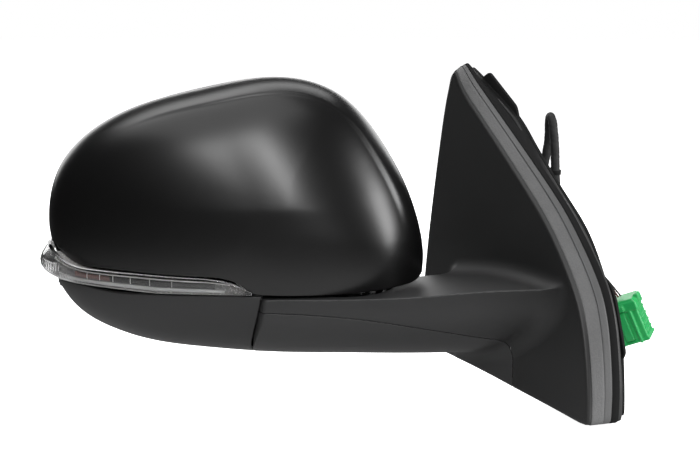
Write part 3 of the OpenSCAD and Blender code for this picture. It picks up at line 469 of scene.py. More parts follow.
M = {
    "cover_paint": material("cover_paint", (0.0050, 0.0049, 0.0050), 0.31, grain=(0.5, 0.10, 0.008), orange=(6.0, 0.012), tint=0.1, rvar=0.02, wear_and_edge_sheen=0.25, spec=0.5),
    "lower_moulding": material("lower_moulding", (0.020, 0.020, 0.0205), 0.52, grain=(0.55, 0.35, 0.03), tint=0.15, rvar=0.05, wear_and_edge_sheen=0.3),
    # foot moulding: base colour darkened towards the sail face as painted shade
    "foot_moulding": material("foot_moulding", (0.0235, 0.0235, 0.024), 0.5, grain=(0.55, 0.35, 0.03), tint=0.15, rvar=0.05, wear_and_edge_sheen=0.35, painted_shade_ramp=(-0.078, -0.034, 0.32)),
    "arm_moulding": material("arm_moulding", (0.026, 0.026, 0.0265), 0.52, grain=(0.55, 0.32, 0.03), tint=0.15, rvar=0.05, wear_and_edge_sheen=0.35),
    "band_grain": material("band_grain", (0.112, 0.112, 0.113), 0.56, grain=(1.25, 1.0, 0.2), tint=0.45, rvar=0.08, wear_and_edge_sheen=0.35),
    "band_fine": material("band_fine", (0.082, 0.082, 0.083), 0.52, grain=(1.1, 0.9, 0.14), tint=0.25, rvar=0.06, wear_and_edge_sheen=0.3),
    "phosphate": material("phosphate", (0.012, 0.012, 0.012), 0.5, 0.4, grain=(0.5, 0.3, 0.02), tint=0.2, wear_and_edge_sheen=0.1),
    "bezel_moulding": material("bezel_moulding", (0.014, 0.014, 0.0145), 0.48, grain=(0.6, 0.4, 0.04), tint=0.15, wear_and_edge_sheen=0.3),
    "seal_rubber": material("seal_rubber", (0.0045, 0.0045, 0.0047), 0.75, grain=(0.8, 0.3, 0.03), tint=0.2, wear_and_edge_sheen=0.2, spec=0.22),
    "tape": material("tape", (0.0065, 0.0065, 0.007), 0.66, grain=(0.35, 0.8, 0.06), tint=0.3, weave=0.7, wear_and_edge_sheen=0.3),
    "wire_brown": material("wire_brown", (0.10, 0.035, 0.02), 0.42, grain=(0.5, 0.1, 0.01), tint=0.2),
    "wire_black": material("wire_black", (0.02, 0.018, 0.018), 0.42, grain=(0.5, 0.1, 0.01), tint=0.2),
    "wire_grey": material("wire_grey", (0.16, 0.13, 0.11), 0.42, grain=(0.5, 0.1, 0.01), tint=0.2),
    "wire_sheath": material("wire_sheath", (0.03, 0.02, 0.018), 0.42, grain=(0.5, 0.1, 0.01), tint=0.2),
    "green_plug": material("green_plug", (0.020, 0.40, 0.105), 0.34, grain=(0.7, 0.2, 0.015), tint=0.10, rvar=0.06, sub=0.15, wear_and_edge_sheen=0.15),
    "terminal": material("terminal", (0.72, 0.58, 0.28), 0.3, 1.0, grain=(0.3, 0.15, 0.006), tint=0.1),
    "cast_alloy": material("cast_alloy", (0.42, 0.43, 0.44), 0.46, 1.0, grain=(0.9, 0.6, 0.06), tint=0.12, rvar=0.12, wear_and_edge_sheen=0.5),
    "zinc_steel": material("zinc_steel", (0.60, 0.60, 0.58), 0.34, 1.0, grain=(0.5, 0.3, 0.02), tint=0.12, rvar=0.1, wear_and_edge_sheen=0.3),
    "shaft_steel": material("shaft_steel", (0.58, 0.58, 0.59), 0.26, 1.0, grain=(0.4, 0.15, 0.01), tint=0.08, streak=(0.1, 0.1, 3.0), wear_and_edge_sheen=0.3),
    "spring_steel": material("spring_steel", (0.36, 0.36, 0.37), 0.32, 1.0, grain=(0.4, 0.2, 0.01), tint=0.12, wear_and_edge_sheen=0.3),
    "gear_plastic": material("gear_plastic", (0.74, 0.68, 0.50), 0.42, grain=(0.6, 0.15, 0.01), tint=0.06, sub=0.1, wear_and_edge_sheen=0.2),
    "worm_brass": material("worm_brass", (0.70, 0.55, 0.25), 0.28, 1.0, grain=(0.4, 0.2, 0.01), tint=0.1, wear_and_edge_sheen=0.3),
    "frame_plastic": material("frame_plastic", (0.02, 0.02, 0.022), 0.6, grain=(0.5, 0.5, 0.04), tint=0.2, wear_and_edge_sheen=0.3),
    "lens_clear": material("lens_clear", (0.985, 0.985, 0.985), 0.03, grain=(0.5, 0.0, 0.0), tint=0.01, rvar=0.01, trans=1.0, ior=1.49),
    "light_guide": material("light_guide", (0.93, 0.93, 0.93), 0.14, grain=(0.5, 0.1, 0.01), tint=0.05, rvar=0.03, trans=0.35, ior=1.49),
    "reflector": material("reflector", (0.50, 0.49, 0.485), 0.26, 0.45, grain=(1.4, 0.3, 0.04), tint=0.4, rvar=0.12),
    "lamp_bright": material("lamp_bright", (0.88, 0.87, 0.86), 0.3, 0.0, grain=(1.2, 0.2, 0.02), tint=0.1, rvar=0.05),
    "lamp_dark": material("lamp_dark", (0.009, 0.0085, 0.0085), 0.35, 0.3, grain=(0.8, 0.2, 0.02), tint=0.3),
    "lamp_warm": material("lamp_warm", (0.17, 0.075, 0.065), 0.3, 0.2, grain=(0.8, 0.2, 0.02), tint=0.3),
    "board": material("board", (0.05, 0.20, 0.08), 0.4, grain=(0.8, 0.2, 0.01), tint=0.2),
    "bush_bronze": material("bush_bronze", (0.52, 0.37, 0.18), 0.4, 1.0, grain=(0.5, 0.4, 0.02), tint=0.15),
    "motor_can": material("motor_can", (0.52, 0.52, 0.53), 0.32, 1.0, grain=(0.5, 0.2, 0.01), tint=0.1, streak=(0.1, 3.0, 0.1), wear_and_edge_sheen=0.3),
    "acetal": material("acetal", (0.80, 0.79, 0.74), 0.4, grain=(0.6, 0.15, 0.01), tint=0.05, sub=0.1, wear_and_edge_sheen=0.2),
    "holder_plastic": material("holder_plastic", (0.018, 0.018, 0.019), 0.55, grain=(0.6, 0.4, 0.03), tint=0.2, wear_and_edge_sheen=0.3),
    "heater_film": material("heater_film", (0.045, 0.045, 0.05), 0.5, grain=(0.8, 0.3, 0.02), tint=0.3),
    "mirror_face": material("mirror_face", (0.86, 0.89, 0.92), 0.018, 1.0, grain=(2.0, 0.0, 0.0), tint=0.01, rvar=0.004),
}
SLOT_OF = {}
for sp in RECORD.get("subparts", []):
    if sp.get("node"):
        SLOT_OF[sp["node"]] = sp.get("material") or sp.get("material_slot") or sp.get("slot")


# ---------------------------------------------------------------- front cover
SCALP_LOW = [[-306, 37], [-299, 32], [-291, 26], [-281, 23.4], [-262, 22.4], [-240, 21], [-215, 19.8], [-196, 19], [-186, 17], [-179, 13], [-172, 8.4], [-160, 7.2], [-140, 7.0], [-114, 7.6], [-94, 8.8], [-78, 10.2], [-67.2, 11.6], [-62.5, 15.0]]


def rim_crease(u, w):
    """Depth by which the front panel is dished inside the upper rim crease and above the belt crease, mm."""
    phi = polar(u, w)
    d = (1 - rho(u, w)) * rim_r(phi)
    inset = np.interp(phi, [-10, 5, 25, 45, 65, 90, 120, 150, 180], [7.5, 7.5, 7.5, 7.5, 8, 9, 9.5, 11, 13])
    wide = np.interp(phi, [-10, 10, 35, 55, 180], [7, 6.5, 4.6, 2.6, 2.4])
    drop = np.interp(phi, [-10, 10, 35, 60, 150], [2.9, 2.7, 2.0, 1.35, 1.2])
    strength = ease(c01((152 - phi) / 42)) * ease(c01((w - CREASE + 26.0) / 30.0)) * (phi > -30)
    step = ease(c01((d - inset + wide / 2) / wide))
    out = 1 - ease(c01((d - inset - 3) / np.interp(phi, [0, 60], [84, 60])))
    panel = ease(c01((d - 4) / 16))
    right = ease(c01((40 - phi) / 30))
    mask = panel
    over = soft_over(w - CREASE, 1.0) - 0.4
    ledge = 0.16 * (1 - np.exp(-np.maximum(0, over) / 8.0)) * ease(c01((u + 232) / 60)) * (1 - ease(c01((u + 146) / 40))) * (1 - ease(c01((w - 82) / 44)))
    return drop * step * out * strength + ledge * mask


def scalp():
    n, m = 460, 260
    t = np.linspace(0, 1, n)
    s = ease(t) * 0.35 + t * 0.65
    lo = line_at(SCALP_LOW, s)
    hi = rim_pt(181 + (-14 - 181) * s)
    j = np.linspace(0, 1, m)
    a = 1 - (1 - j) ** 2
    p = lo[:, None, :] + (hi - lo)[:, None, :] * a[None, :, None]
    u, w = p[..., 0], p[..., 1]
    v = face_v(u, w, 4.0) + rim_crease(u, w)
    G = np.stack([u, v, w], -1)
    G = resample(G.transpose(1, 0, 2), 1.0, 170).transpose(1, 0, 2)
    G = resample(G, 1.0, 330)
    N = grid_normals(G)
    if N[N.shape[0] // 2, N.shape[1] // 2, 1] > 0:
        N = -N
    V, F = shell_from_grid(G, N, 2.3, 0.8)
    new_mesh("front_cover_skin", row(V), F, "head", M["cover_paint"], ["front_cover"], 40)


scalp()

# ---------------------------------------------------------------- lower cover
LOW_TOP = 6.4
SEAM_R = 64.0


def lower_pt(a, s):
    """Outer skin of the lower cover: a = angle round the rim, s = -1 front top, 0 belly, 1 rear top."""
    q = rim_pt(a)
    top = np.where(s < 0, LOW_TOP + 4.4 * ease(c01((-262 - q[..., 0]) / 34)), LOW_TOP + 0.6)
    w = q[..., 1] + (top - q[..., 1]) * s * s
    u = q[..., 0] + (POLE[0] - q[..., 0]) * (w - q[..., 1]) / (POLE[1] - q[..., 1]) * 0.15
    b = bulge(u, w)
    u = u - 4.4 * ease(c01((-256 - q[..., 0]) / 34)) * (1 - 0.3 * np.abs(s))
    v = np.where(s < 0, V_RIM - DEPTH * b, V_RIM + 16.0 * b)
    return np.stack([u, v, w], -1)


def lower_cover():
    m, n = 220, 260
    s = np.linspace(-1, 1, m)
    lo = np.full(m, -130.0)
    hi = np.full(m, -60.0)
    for _ in range(40):
        mid = (lo + hi) / 2
        P = lower_pt(mid, s)
        inside = np.hypot(P[:, 0] - PV[0], P[:, 1] - PV[1]) > SEAM_R + 0.7
        lo = np.where(inside, mid, lo)
        hi = np.where(inside, hi, mid)
    a1 = np.minimum(lo, -91.0)
    t = np.linspace(0, 1, n)
    a = -163.2 + (a1[None, :] + 163.2) * t[:, None]
    G = lower_pt(a, np.broadcast_to(s, a.shape))
    G = resample(G.transpose(1, 0, 2), 1.0, 120).transpose(1, 0, 2)
    G = resample(G, 1.0, 200)
    N = grid_normals(G)
    k = N[N.shape[0] // 2, 20]
    if k[1] > 0:
        N = -N
    V, F = shell_from_grid(G, N, 2.3, 0.8)
    new_mesh("lower_cover_skin", row(V), F, "head", M["lower_moulding"], ["lower_cover"], 40)


lower_cover()

# ---------------------------------------------------------------- rear bezel
BEZ_C = np.array([rim_pt(a) for a in range(-8, 173, 12)] + [[-308, 44], [-306, 32], [-300, 18], [-288, 10], [-262, 8.6], [-230, 8.6], [-200, 8.6], [-160, 8.8], [-120, 9.6], [-90, 11], [-70, 13.5], [-62, 23]])


def bez_pt(t):
    return loop_at(BEZ_C, np.asarray(t, float) * len(BEZ_C))


def bez_in(t, o):
    d = unit(bez_pt(np.asarray(t) + 0.002) - bez_pt(np.asarray(t) - 0.002))
    return bez_pt(t) + np.asarray(o)[..., None] * np.stack([-d[..., 1], d[..., 0]], -1)


def smooth_closed(pts, per):
    pts = np.asarray(pts, float)
    n = len(pts)
    out = []
    for i in range(n):
        a, b, c, d = pts[(i - 1) % n], pts[i], pts[(i + 1) % n], pts[(i + 2) % n]
        for k in range(per):
            f = k / per
            out.append(0.5 * (2 * b + (c - a) * f + (2 * a - 5 * b + 4 * c - d) * f * f + (3 * b - a - 3 * c + d) * f ** 3))
    return np.array(out)


def bezel():
    B = 35.0
    prof = [[0.25, 0.3], [0, 1.5], [0.5, 12], [1.8, B * 0.66], [4.2, B * 0.88], [7, B - 0.8], [8.8, B], [10, B - 1.2], [10.6, B - 5], [11, B - 18.6], [10.6, B - 19], [9.4, B - 19], [9, B - 18.6], [8.4, B - 6], [7.4, B - 3.6], [5.6, B * 0.84], [3.9, B * 0.64], [2.7, 12], [2.4, 1.2], [2.1, 0.3]]
    prof = np.array(prof, float)
    dense = []
    n = len(prof)
    for i in range(n):
        a, b, c = prof[i - 1], prof[i], prof[(i + 1) % n]
        L1, L2 = np.linalg.norm(b - a), np.linalg.norm(c - b)
        k1, k2 = min(0.45, 1.6 / L1), min(0.45, 1.6 / L2)
        p0, p2 = b + (a - b) * k1, b + (c - b) * k2
        for f in np.linspace(0, 1, 5):
            dense.append((1 - f) ** 2 * p0 + 2 * f * (1 - f) * b + f * f * p2)
    dense = np.array(dense)
    K = 420
    t = np.arange(K) / K
    q = bez_in(t[:, None] + 0 * dense[None, :, 0], np.broadcast_to(dense[:, 0], (K, len(dense))))
    P = np.stack([q[..., 0], np.broadcast_to(V_RIM + dense[:, 1], q.shape[:2]), q[..., 1]], -1)
    V, F = hoop(P)
    new_mesh("rear_bezel_ring", row(V), F, "head", M["bezel_moulding"], ["rear_bezel"], 40)


bezel()

# ---------------------------------------------------------------- indicator lamp
LO_T = [[0, 7.4], [0.4, 7.4], [0.65, 10.7], [0.8, 12.4], [0.9, 14.4], [1, 17]]
HI_T = [[0, 8.8], [0.035, 11.2], [0.08, 15.2], [0.13, 17.3], [0.2, 18.7], [0.32, 19.4], [0.45, 20.6], [0.57, 21.6], [0.69, 23], [0.745, 26.5], [0.79, 32], [0.85, 35.6], [0.92, 36], [1, 33]]


def lamp_base(t, w):
    t, w = np.broadcast_arrays(np.asarray(t, float), np.asarray(w, float))
    u = -171 - 129 * t / 0.8
    front = np.stack([u, face_v(u, w)], -1)
    phi = np.degrees(np.arctan2(w - POLE[1], -135.0))
    th0 = np.degrees(np.arcsin(np.clip((V_RIM - face_v(np.full_like(w, -300.0), w)) / DEPTH, -1, 1)))
    th = np.radians(th0 + (-38 - th0) * (t - 0.8) / 0.2)
    s = np.sin(th)
    r = np.where(s > 0, np.maximum(0, 1 - s * s) ** (1 / swell(phi)), 1 - 0.035 * s * s)
    R = rim_r(phi)
    wrap = np.stack([POLE[0] - np.sqrt(np.maximum(1, (r * R) ** 2 - (POLE[1] - w) ** 2)), np.where(s > 0, V_RIM - DEPTH * s, V_RIM - 38 * s)], -1)
    return np.where((t < 0.8)[..., None], front, wrap)


def lamp_dir(t, w):
    d = lamp_base(np.minimum(1, t + 0.02), w) - lamp_base(np.maximum(0, t - 0.02), w)
    return unit(np.stack([-d[..., 1], d[..., 0]], -1))


def lamp_proud(t):
    return 1.0 + 7.2 * ease(c01((t - 0.4) / 0.5)) * (1 - 0.5 * ease(c01((t - 0.9) / 0.1)))


def wrap_proud(t, w, f):
    """How far the lens stands out: small inboard, and out to its own rounded tip where it wraps the corner."""
    phi = np.degrees(np.arctan2(w - POLE[1], -135.0))
    base_u = POLE[0] - np.sqrt(np.maximum(1, rim_r(phi) ** 2 - (POLE[1] - w) ** 2))
    tip_u = np.interp(w, [10, 12.4, 14.7, 17, 20.2, 24, 28, 32, 35.6, 40], [-299.4, -303.6, -308.6, -311.4, -313.3, -313.6, -312.4, -310.2, -307.4, -304])
    k = ease(c01((t - 0.66) / 0.2))
    tail = 1 - 0.35 * ease(c01((t - 0.9) / 0.1))
    return lamp_proud(t) * (1 - k) + np.maximum(2.4, (base_u - tip_u)) * tail * k


def smooth_table(tab, t, r=0.012):
    x, y = zip(*tab)
    return sum(np.interp(t + k * r, x, y) for k in (-2, -1, 0, 1, 2)) / 5.0


def lamp_pt(t, f, o, crown=0.0):
    lo_, hi_ = smooth_table(LO_T, t), smooth_table(HI_T, t)
    w = lo_ + f * (hi_ - lo_)
    b = lamp_base(t, w)
    d = lamp_dir(t, w)
    x = wrap_proud(t, w, f) + o + crown * (1 - (2 * f - 1) ** 2)
    return np.stack([b[..., 0] + x * d[..., 0], b[..., 1] + x * d[..., 1], w], -1)


def smooth_grid(G, times):
    for _ in range(times):
        H = G.copy()
        H[1:-1] = 0.25 * G[:-2] + 0.5 * G[1:-1] + 0.25 * G[2:]
        G = H
    return G


def lamp():
    n, m = 520, 40
    t = np.linspace(0.012, 0.985, n)[:, None]
    f = np.linspace(0.03, 0.97, m)[None, :]
    T, Fq = np.broadcast_arrays(t, f)
    outer = smooth_grid(lamp_pt(T, Fq, 0.0, 0.9), 6)
    # moulded optics on the inner face: upright flutes outboard; the fine ladder along the middle is given zero depth,
    # so it is not cut
    s = np.concatenate([[0], np.cumsum(np.linalg.norm(np.diff(outer[:, m // 2], axis=0), axis=-1))])[:, None]
    flute = np.abs(((s / 2.2) % 1.0) * 2 - 1)
    ladder = np.abs(((s / 5.2) % 1.0) * 2 - 1)
    zone = ease(c01((T - 0.70) / 0.03))
    mid = ease(c01((Fq - 0.30) / 0.08)) * ease(c01((0.66 - Fq) / 0.08)) * ease(c01((0.70 - T) / 0.03)) * ease(c01((T - 0.12) / 0.05))
    inset = ease(c01((Fq - 0.10) / 0.1)) * ease(c01((0.90 - Fq) / 0.1))
    io = -2.0 + 0.22 * flute * zone * inset * (1 - 0.8 * ease(c01((T - 0.86) / 0.05))) + 0.0 * ladder * mid
    inner = smooth_grid(lamp_pt(T, Fq, 0.0, 0.9), 6) + (smooth_grid(lamp_pt(T, Fq, -2.0, 0.9), 6) - outer) * (io / -2.0)[..., None]
    N = grid_normals(outer)
    if N[n // 3, m // 2, 1] > 0:
        N = -N
    V, F = shell_from_grid(outer, N, 2.0, 0.55, inner=inner)
    new_mesh("indicator_lens", row(V), F, "head", M["lens_clear"], ["lamp_lens"], 30)
    # reflector channel behind the lens
    t = np.linspace(0.045, 0.80, 300)
    prof = smooth_closed([[-11.6, 0.08], [-11.8, 0.5], [-11.6, 0.9], [-7, 0.92], [-2.6, 0.93], [-2.5, 0.88], [-6, 0.82], [-8.2, 0.70], [-8.7, 0.5], [-8.2, 0.30], [-6, 0.17], [-2.5, 0.12], [-2.6, 0.07], [-7, 0.07]], 4)
    P = np.stack([lamp_pt(t, np.full_like(t, p[1]), p[0]) for p in prof], 1)
    V, F = rod(P)
    new_mesh("indicator_reflector", row(V), F, "head", M["reflector"], ["lamp_housing"], 40)
    def strip(name, prof, t0, t1, mat, n_=240, rep_=()):
        t_ = np.linspace(t0, t1, n_)
        pr = smooth_closed(prof, 4)
        P_ = np.stack([lamp_pt(t_, np.full_like(t_, q[1]), q[0]) for q in pr], 1)
        V_, F_ = rod(P_)
        new_mesh(name, row(V_), F_, "head", mat, list(rep_), 40)

    # dark window with its warm outboard end, a slim silver line above it
    strip("indicator_window", [[-3.8, 0.40], [-5.0, 0.40], [-5.0, 0.66], [-3.8, 0.66]], 0.16, 0.715, M["lamp_dark"])
    strip("indicator_carrier", [[-3.3, 0.42], [-4.2, 0.42], [-4.2, 0.63], [-3.3, 0.63]], 0.585, 0.715, M["lamp_warm"], 60)
    strip("indicator_upper_line", [[-2.9, 0.73], [-3.9, 0.72], [-3.9, 0.79], [-2.9, 0.78]], 0.10, 0.79, M["lamp_bright"])
    strip("indicator_lower_line", [[-2.6, 0.045], [-3.2, 0.045], [-3.2, 0.10], [-2.6, 0.10]], 0.05, 0.80, M["lamp_bright"])
    # thin upright ribs in front of the window
    parts = []
    for tc_ in (0.67, 0.622, 0.571, 0.502, 0.424, 0.334):
        tt = np.linspace(tc_ - 0.0007, tc_ + 0.0007, 5)
        pr = smooth_closed([[-3.0, 0.42], [-3.9, 0.42], [-3.9, 0.68], [-3.0, 0.68]], 3)
        parts.append(rod(np.stack([lamp_pt(tt, np.full_like(tt, q[1]), q[0]) for q in pr], 1)))
    V, F = join_parts(parts)
    new_mesh("indicator_ribs", row(V), F, "head", M["lamp_bright"], [], 40)
    # light guide: bright bar along the lower edge, with prism notches on its back
    t = np.linspace(0.12, 0.77, 620)
    s = np.concatenate([[0], np.cumsum(np.linalg.norm(np.diff(lamp_pt(t, np.full_like(t, 0.25), -3.5), axis=0), axis=-1))])
    notch = np.clip(np.abs(((s / 4.4) % 1.0) * 2 - 1) * 2.6 - 1.6, 0, 1)
    ring = []
    for a in np.linspace(0, 2 * math.pi, 20, endpoint=False):
        ca, sa = math.cos(a), math.sin(a)
        o = -3.6 + 0.95 * ca + (0.5 * notch * max(0.0, -ca))
        ring.append(lamp_pt(t, 0.25 + 0.095 * sa + 0 * t, o))
    V, F = rod(np.stack(ring, 1))
    new_mesh("indicator_light_guide", row(V), F, "head", M["light_guide"], ["lamp_light_guide"], 40)


lamp()

# ---------------------------------------------------------------- glass
GLASS_R, GLASS_FRONT, GLASS_T = 1300.0, 14.0, 2.2


def glass():
    K = 360
    t = np.arange(K) / K
    rim = bez_in(t, np.full(K, 14.5))
    stations = []
    for f, d in [(f, 0.0) for f in np.linspace(0.02, 0.985, 26)] + [(0.993, 0.05), (0.9985, 0.25), (1.0, 0.6), (1.0, 1.6), (0.9985, 1.95), (0.993, 2.15)] + [(f, GLASS_T) for f in np.linspace(0.985, 0.02, 14)]:
        q = (rim - GC) * f
        v = GLASS_FRONT - GLASS_R + np.sqrt((GLASS_R - d) ** 2 - (q ** 2).sum(-1))
        stations.append(np.stack([GC[0] + q[:, 0], v, GC[1] + q[:, 1]], -1))
    V, F = rod(np.array(stations))
    new_mesh("mirror_glass_pane", row(V), F, "glass", M["mirror_face"], ["mirror_glass"], 40)


glass()

# ---------------------------------------------------------------- sail foot and arm, one blended moulding cut along the parting line
FACE = np.array([[-121, -64], [-118.5, -45], [-113.4, -23], [-107, -4], [-98.3, 13], [-82, 34], [-59, 57.7], [-26, 84], [10, 111], [36, 130.5], [47, 144], [51, 139], [54.5, 117], [57, 83], [59, 46], [59.5, 10], [59, -22], [56, -38], [40, -42], [17, -44.6], [-20, -49.6], [-48, -53.9], [-85, -59.4], [-112, -63.8]], float)
GASK = np.array([[-112, -64.5], [-111.6, -45], [-109.4, -20], [-102, 1], [-93, 19.5], [-74.5, 49.6], [-46, 76], [-24, 97], [-2.4, 118], [33, 139], [46, 146], [51.5, 140], [55.6, 117], [58.2, 83], [60.2, 46], [60.7, 10], [60.2, -22], [57, -40], [40, -44], [17, -46.4], [-20, -51.4], [-48, -55.6], [-85, -60.6], [-104, -64]], float)
FLARE = np.array([0.1, 0.35, 0.6, 0.85] + [1.0] * 6 + [0.6, 0.6] + [0.25] * 12)
CORNERS = [0, 10, 11, 16, 18, 23]


def dense_outline(P, per=10):
    """Dense closed outline: smooth between corners, straight through them."""
    n = len(P)
    out = []
    for i in range(n):
        b, c = P[i], P[(i + 1) % n]
        a = P[i - 1] if i not in CORNERS else b - (c - b)
        d = P[(i + 2) % n] if (i + 1) % n not in CORNERS else c + (c - b)
        for k in range(per):
            f = k / per
            out.append(0.5 * (2 * b + (c - a) * f + (2 * a - 5 * b + 4 * c - d) * f * f + (3 * b - a - 3 * c + d) * f ** 3))
    return np.array(out)


def soften(P, times):
    for _ in range(times):
        P = 0.25 * np.roll(P, 1, 0) + 0.5 * P + 0.25 * np.roll(P, -1, 0)
    return P


PER = 12


def offs(P, a, b=0.0):
    d = unit(np.roll(P, -1, 0) - np.roll(P, 1, 0))
    k = unit(np.stack([-d[:, 1], d[:, 0]], -1))
    return P + k * (a * FLARE + b)[:, None]


def sail_face(z):
    return -(15 + (153 - z) * 0.11)


def sail_ring(k, a, b, dx=0.0, soft=6):
    p = soften(dense_outline(offs(FACE, a, b), PER), soft)
    return np.stack([k * sail_face(p[:, 1]) - 2.6 * (1 - k) + dx, p[:, 0], p[:, 1]], -1)


def back_ring(x, b, soft=6):
    p = soften(dense_outline(offs(GASK, 0, b), PER), soft)
    return np.stack([np.full(len(p), float(x)), p[:, 0], p[:, 1]], -1)


ARM_U = [-186, -150, -110, -68, -28, 12, 34]
ARM_F = [-61.5, -64, -67, -72, -78, -83.5, -88]
ARM_B = [5, 6, 6, 4, -2, -10, -20]
ARM_T = [4.4, 5.1, 5.9, 8.3, 12.8, 15.4, 16]
ARM_L = [-37, -38.2, -38.4, -38.4, -37, -32, -28]


def arm_v(tab, u):
    x = np.asarray(ARM_U, float)
    i = np.clip(np.searchsorted(x, u, "right") - 1, 0, len(x) - 2)
    f = (u - x[i]) / (x[i + 1] - x[i])
    t = np.asarray(tab, float)
    a, b, c, d = t[np.maximum(i - 1, 0)], t[i], t[i + 1], t[np.minimum(i + 2, len(t) - 1)]
    return 0.5 * (2 * b + (c - a) * f + (2 * a - 5 * b + 4 * c - d) * f * f + (3 * b - a - 3 * c + d) * f ** 3)


def arm_section(u):
    f, b, t, l = [arm_v(q, u) for q in (ARM_F, ARM_B, ARM_T, ARM_L)]
    c, N = -12.0, 40
    k = np.arange(N + 1)
    s = 1 - k / N
    h = 1 - s * s
    A = np.stack([np.full(N + 1, u), c - (c - f) * np.sqrt(np.maximum(0, 1 - h ** 2.3)), t - (t - l) * h], -1)
    s = np.arange(1, N + 1) / N
    h = 1 - s * s
    lift = 4.5 * float(ease(c01((u + 46) / 44)))
    B = np.stack([np.full(N, u), c + (b - c) * np.sqrt(np.maximum(0, 1 - h ** 2.3)), t + lift - (t + lift - l) * h], -1)
    k = np.arange(1, 12) / 12.0
    D = np.stack([np.full(11, u), b + (f - b) * k, t + lift * (1 - k) + 1.2 * np.sin(math.pi * k)], -1)
    return np.concatenate([A, B, D])


PART_LINE = [[-200, -4], [-168, -4.1], [-146, -4.6], [-124, -5.8], [-104, -7.4], [-84, -9.9], [-64, -13], [-44, -16.2], [-19, -20.6], [-13, -22], [-7, -27], [-4.5, -36]]


def tri(V, F):
    T = []
    for q in F:
        for k in range(1, len(q) - 1):
            T.append((q[0], q[k], q[k + 1]))
    return np.asarray(V, np.float32), np.asarray(T, np.uint32)


def smin(a, b, k):
    h = np.clip(0.5 + 0.5 * (b - a) / k, 0, 1)
    return b * (1 - h) + a * h - k * h * (1 - h)


def smax(a, b, k):
    return -smin(-a, -b, k)


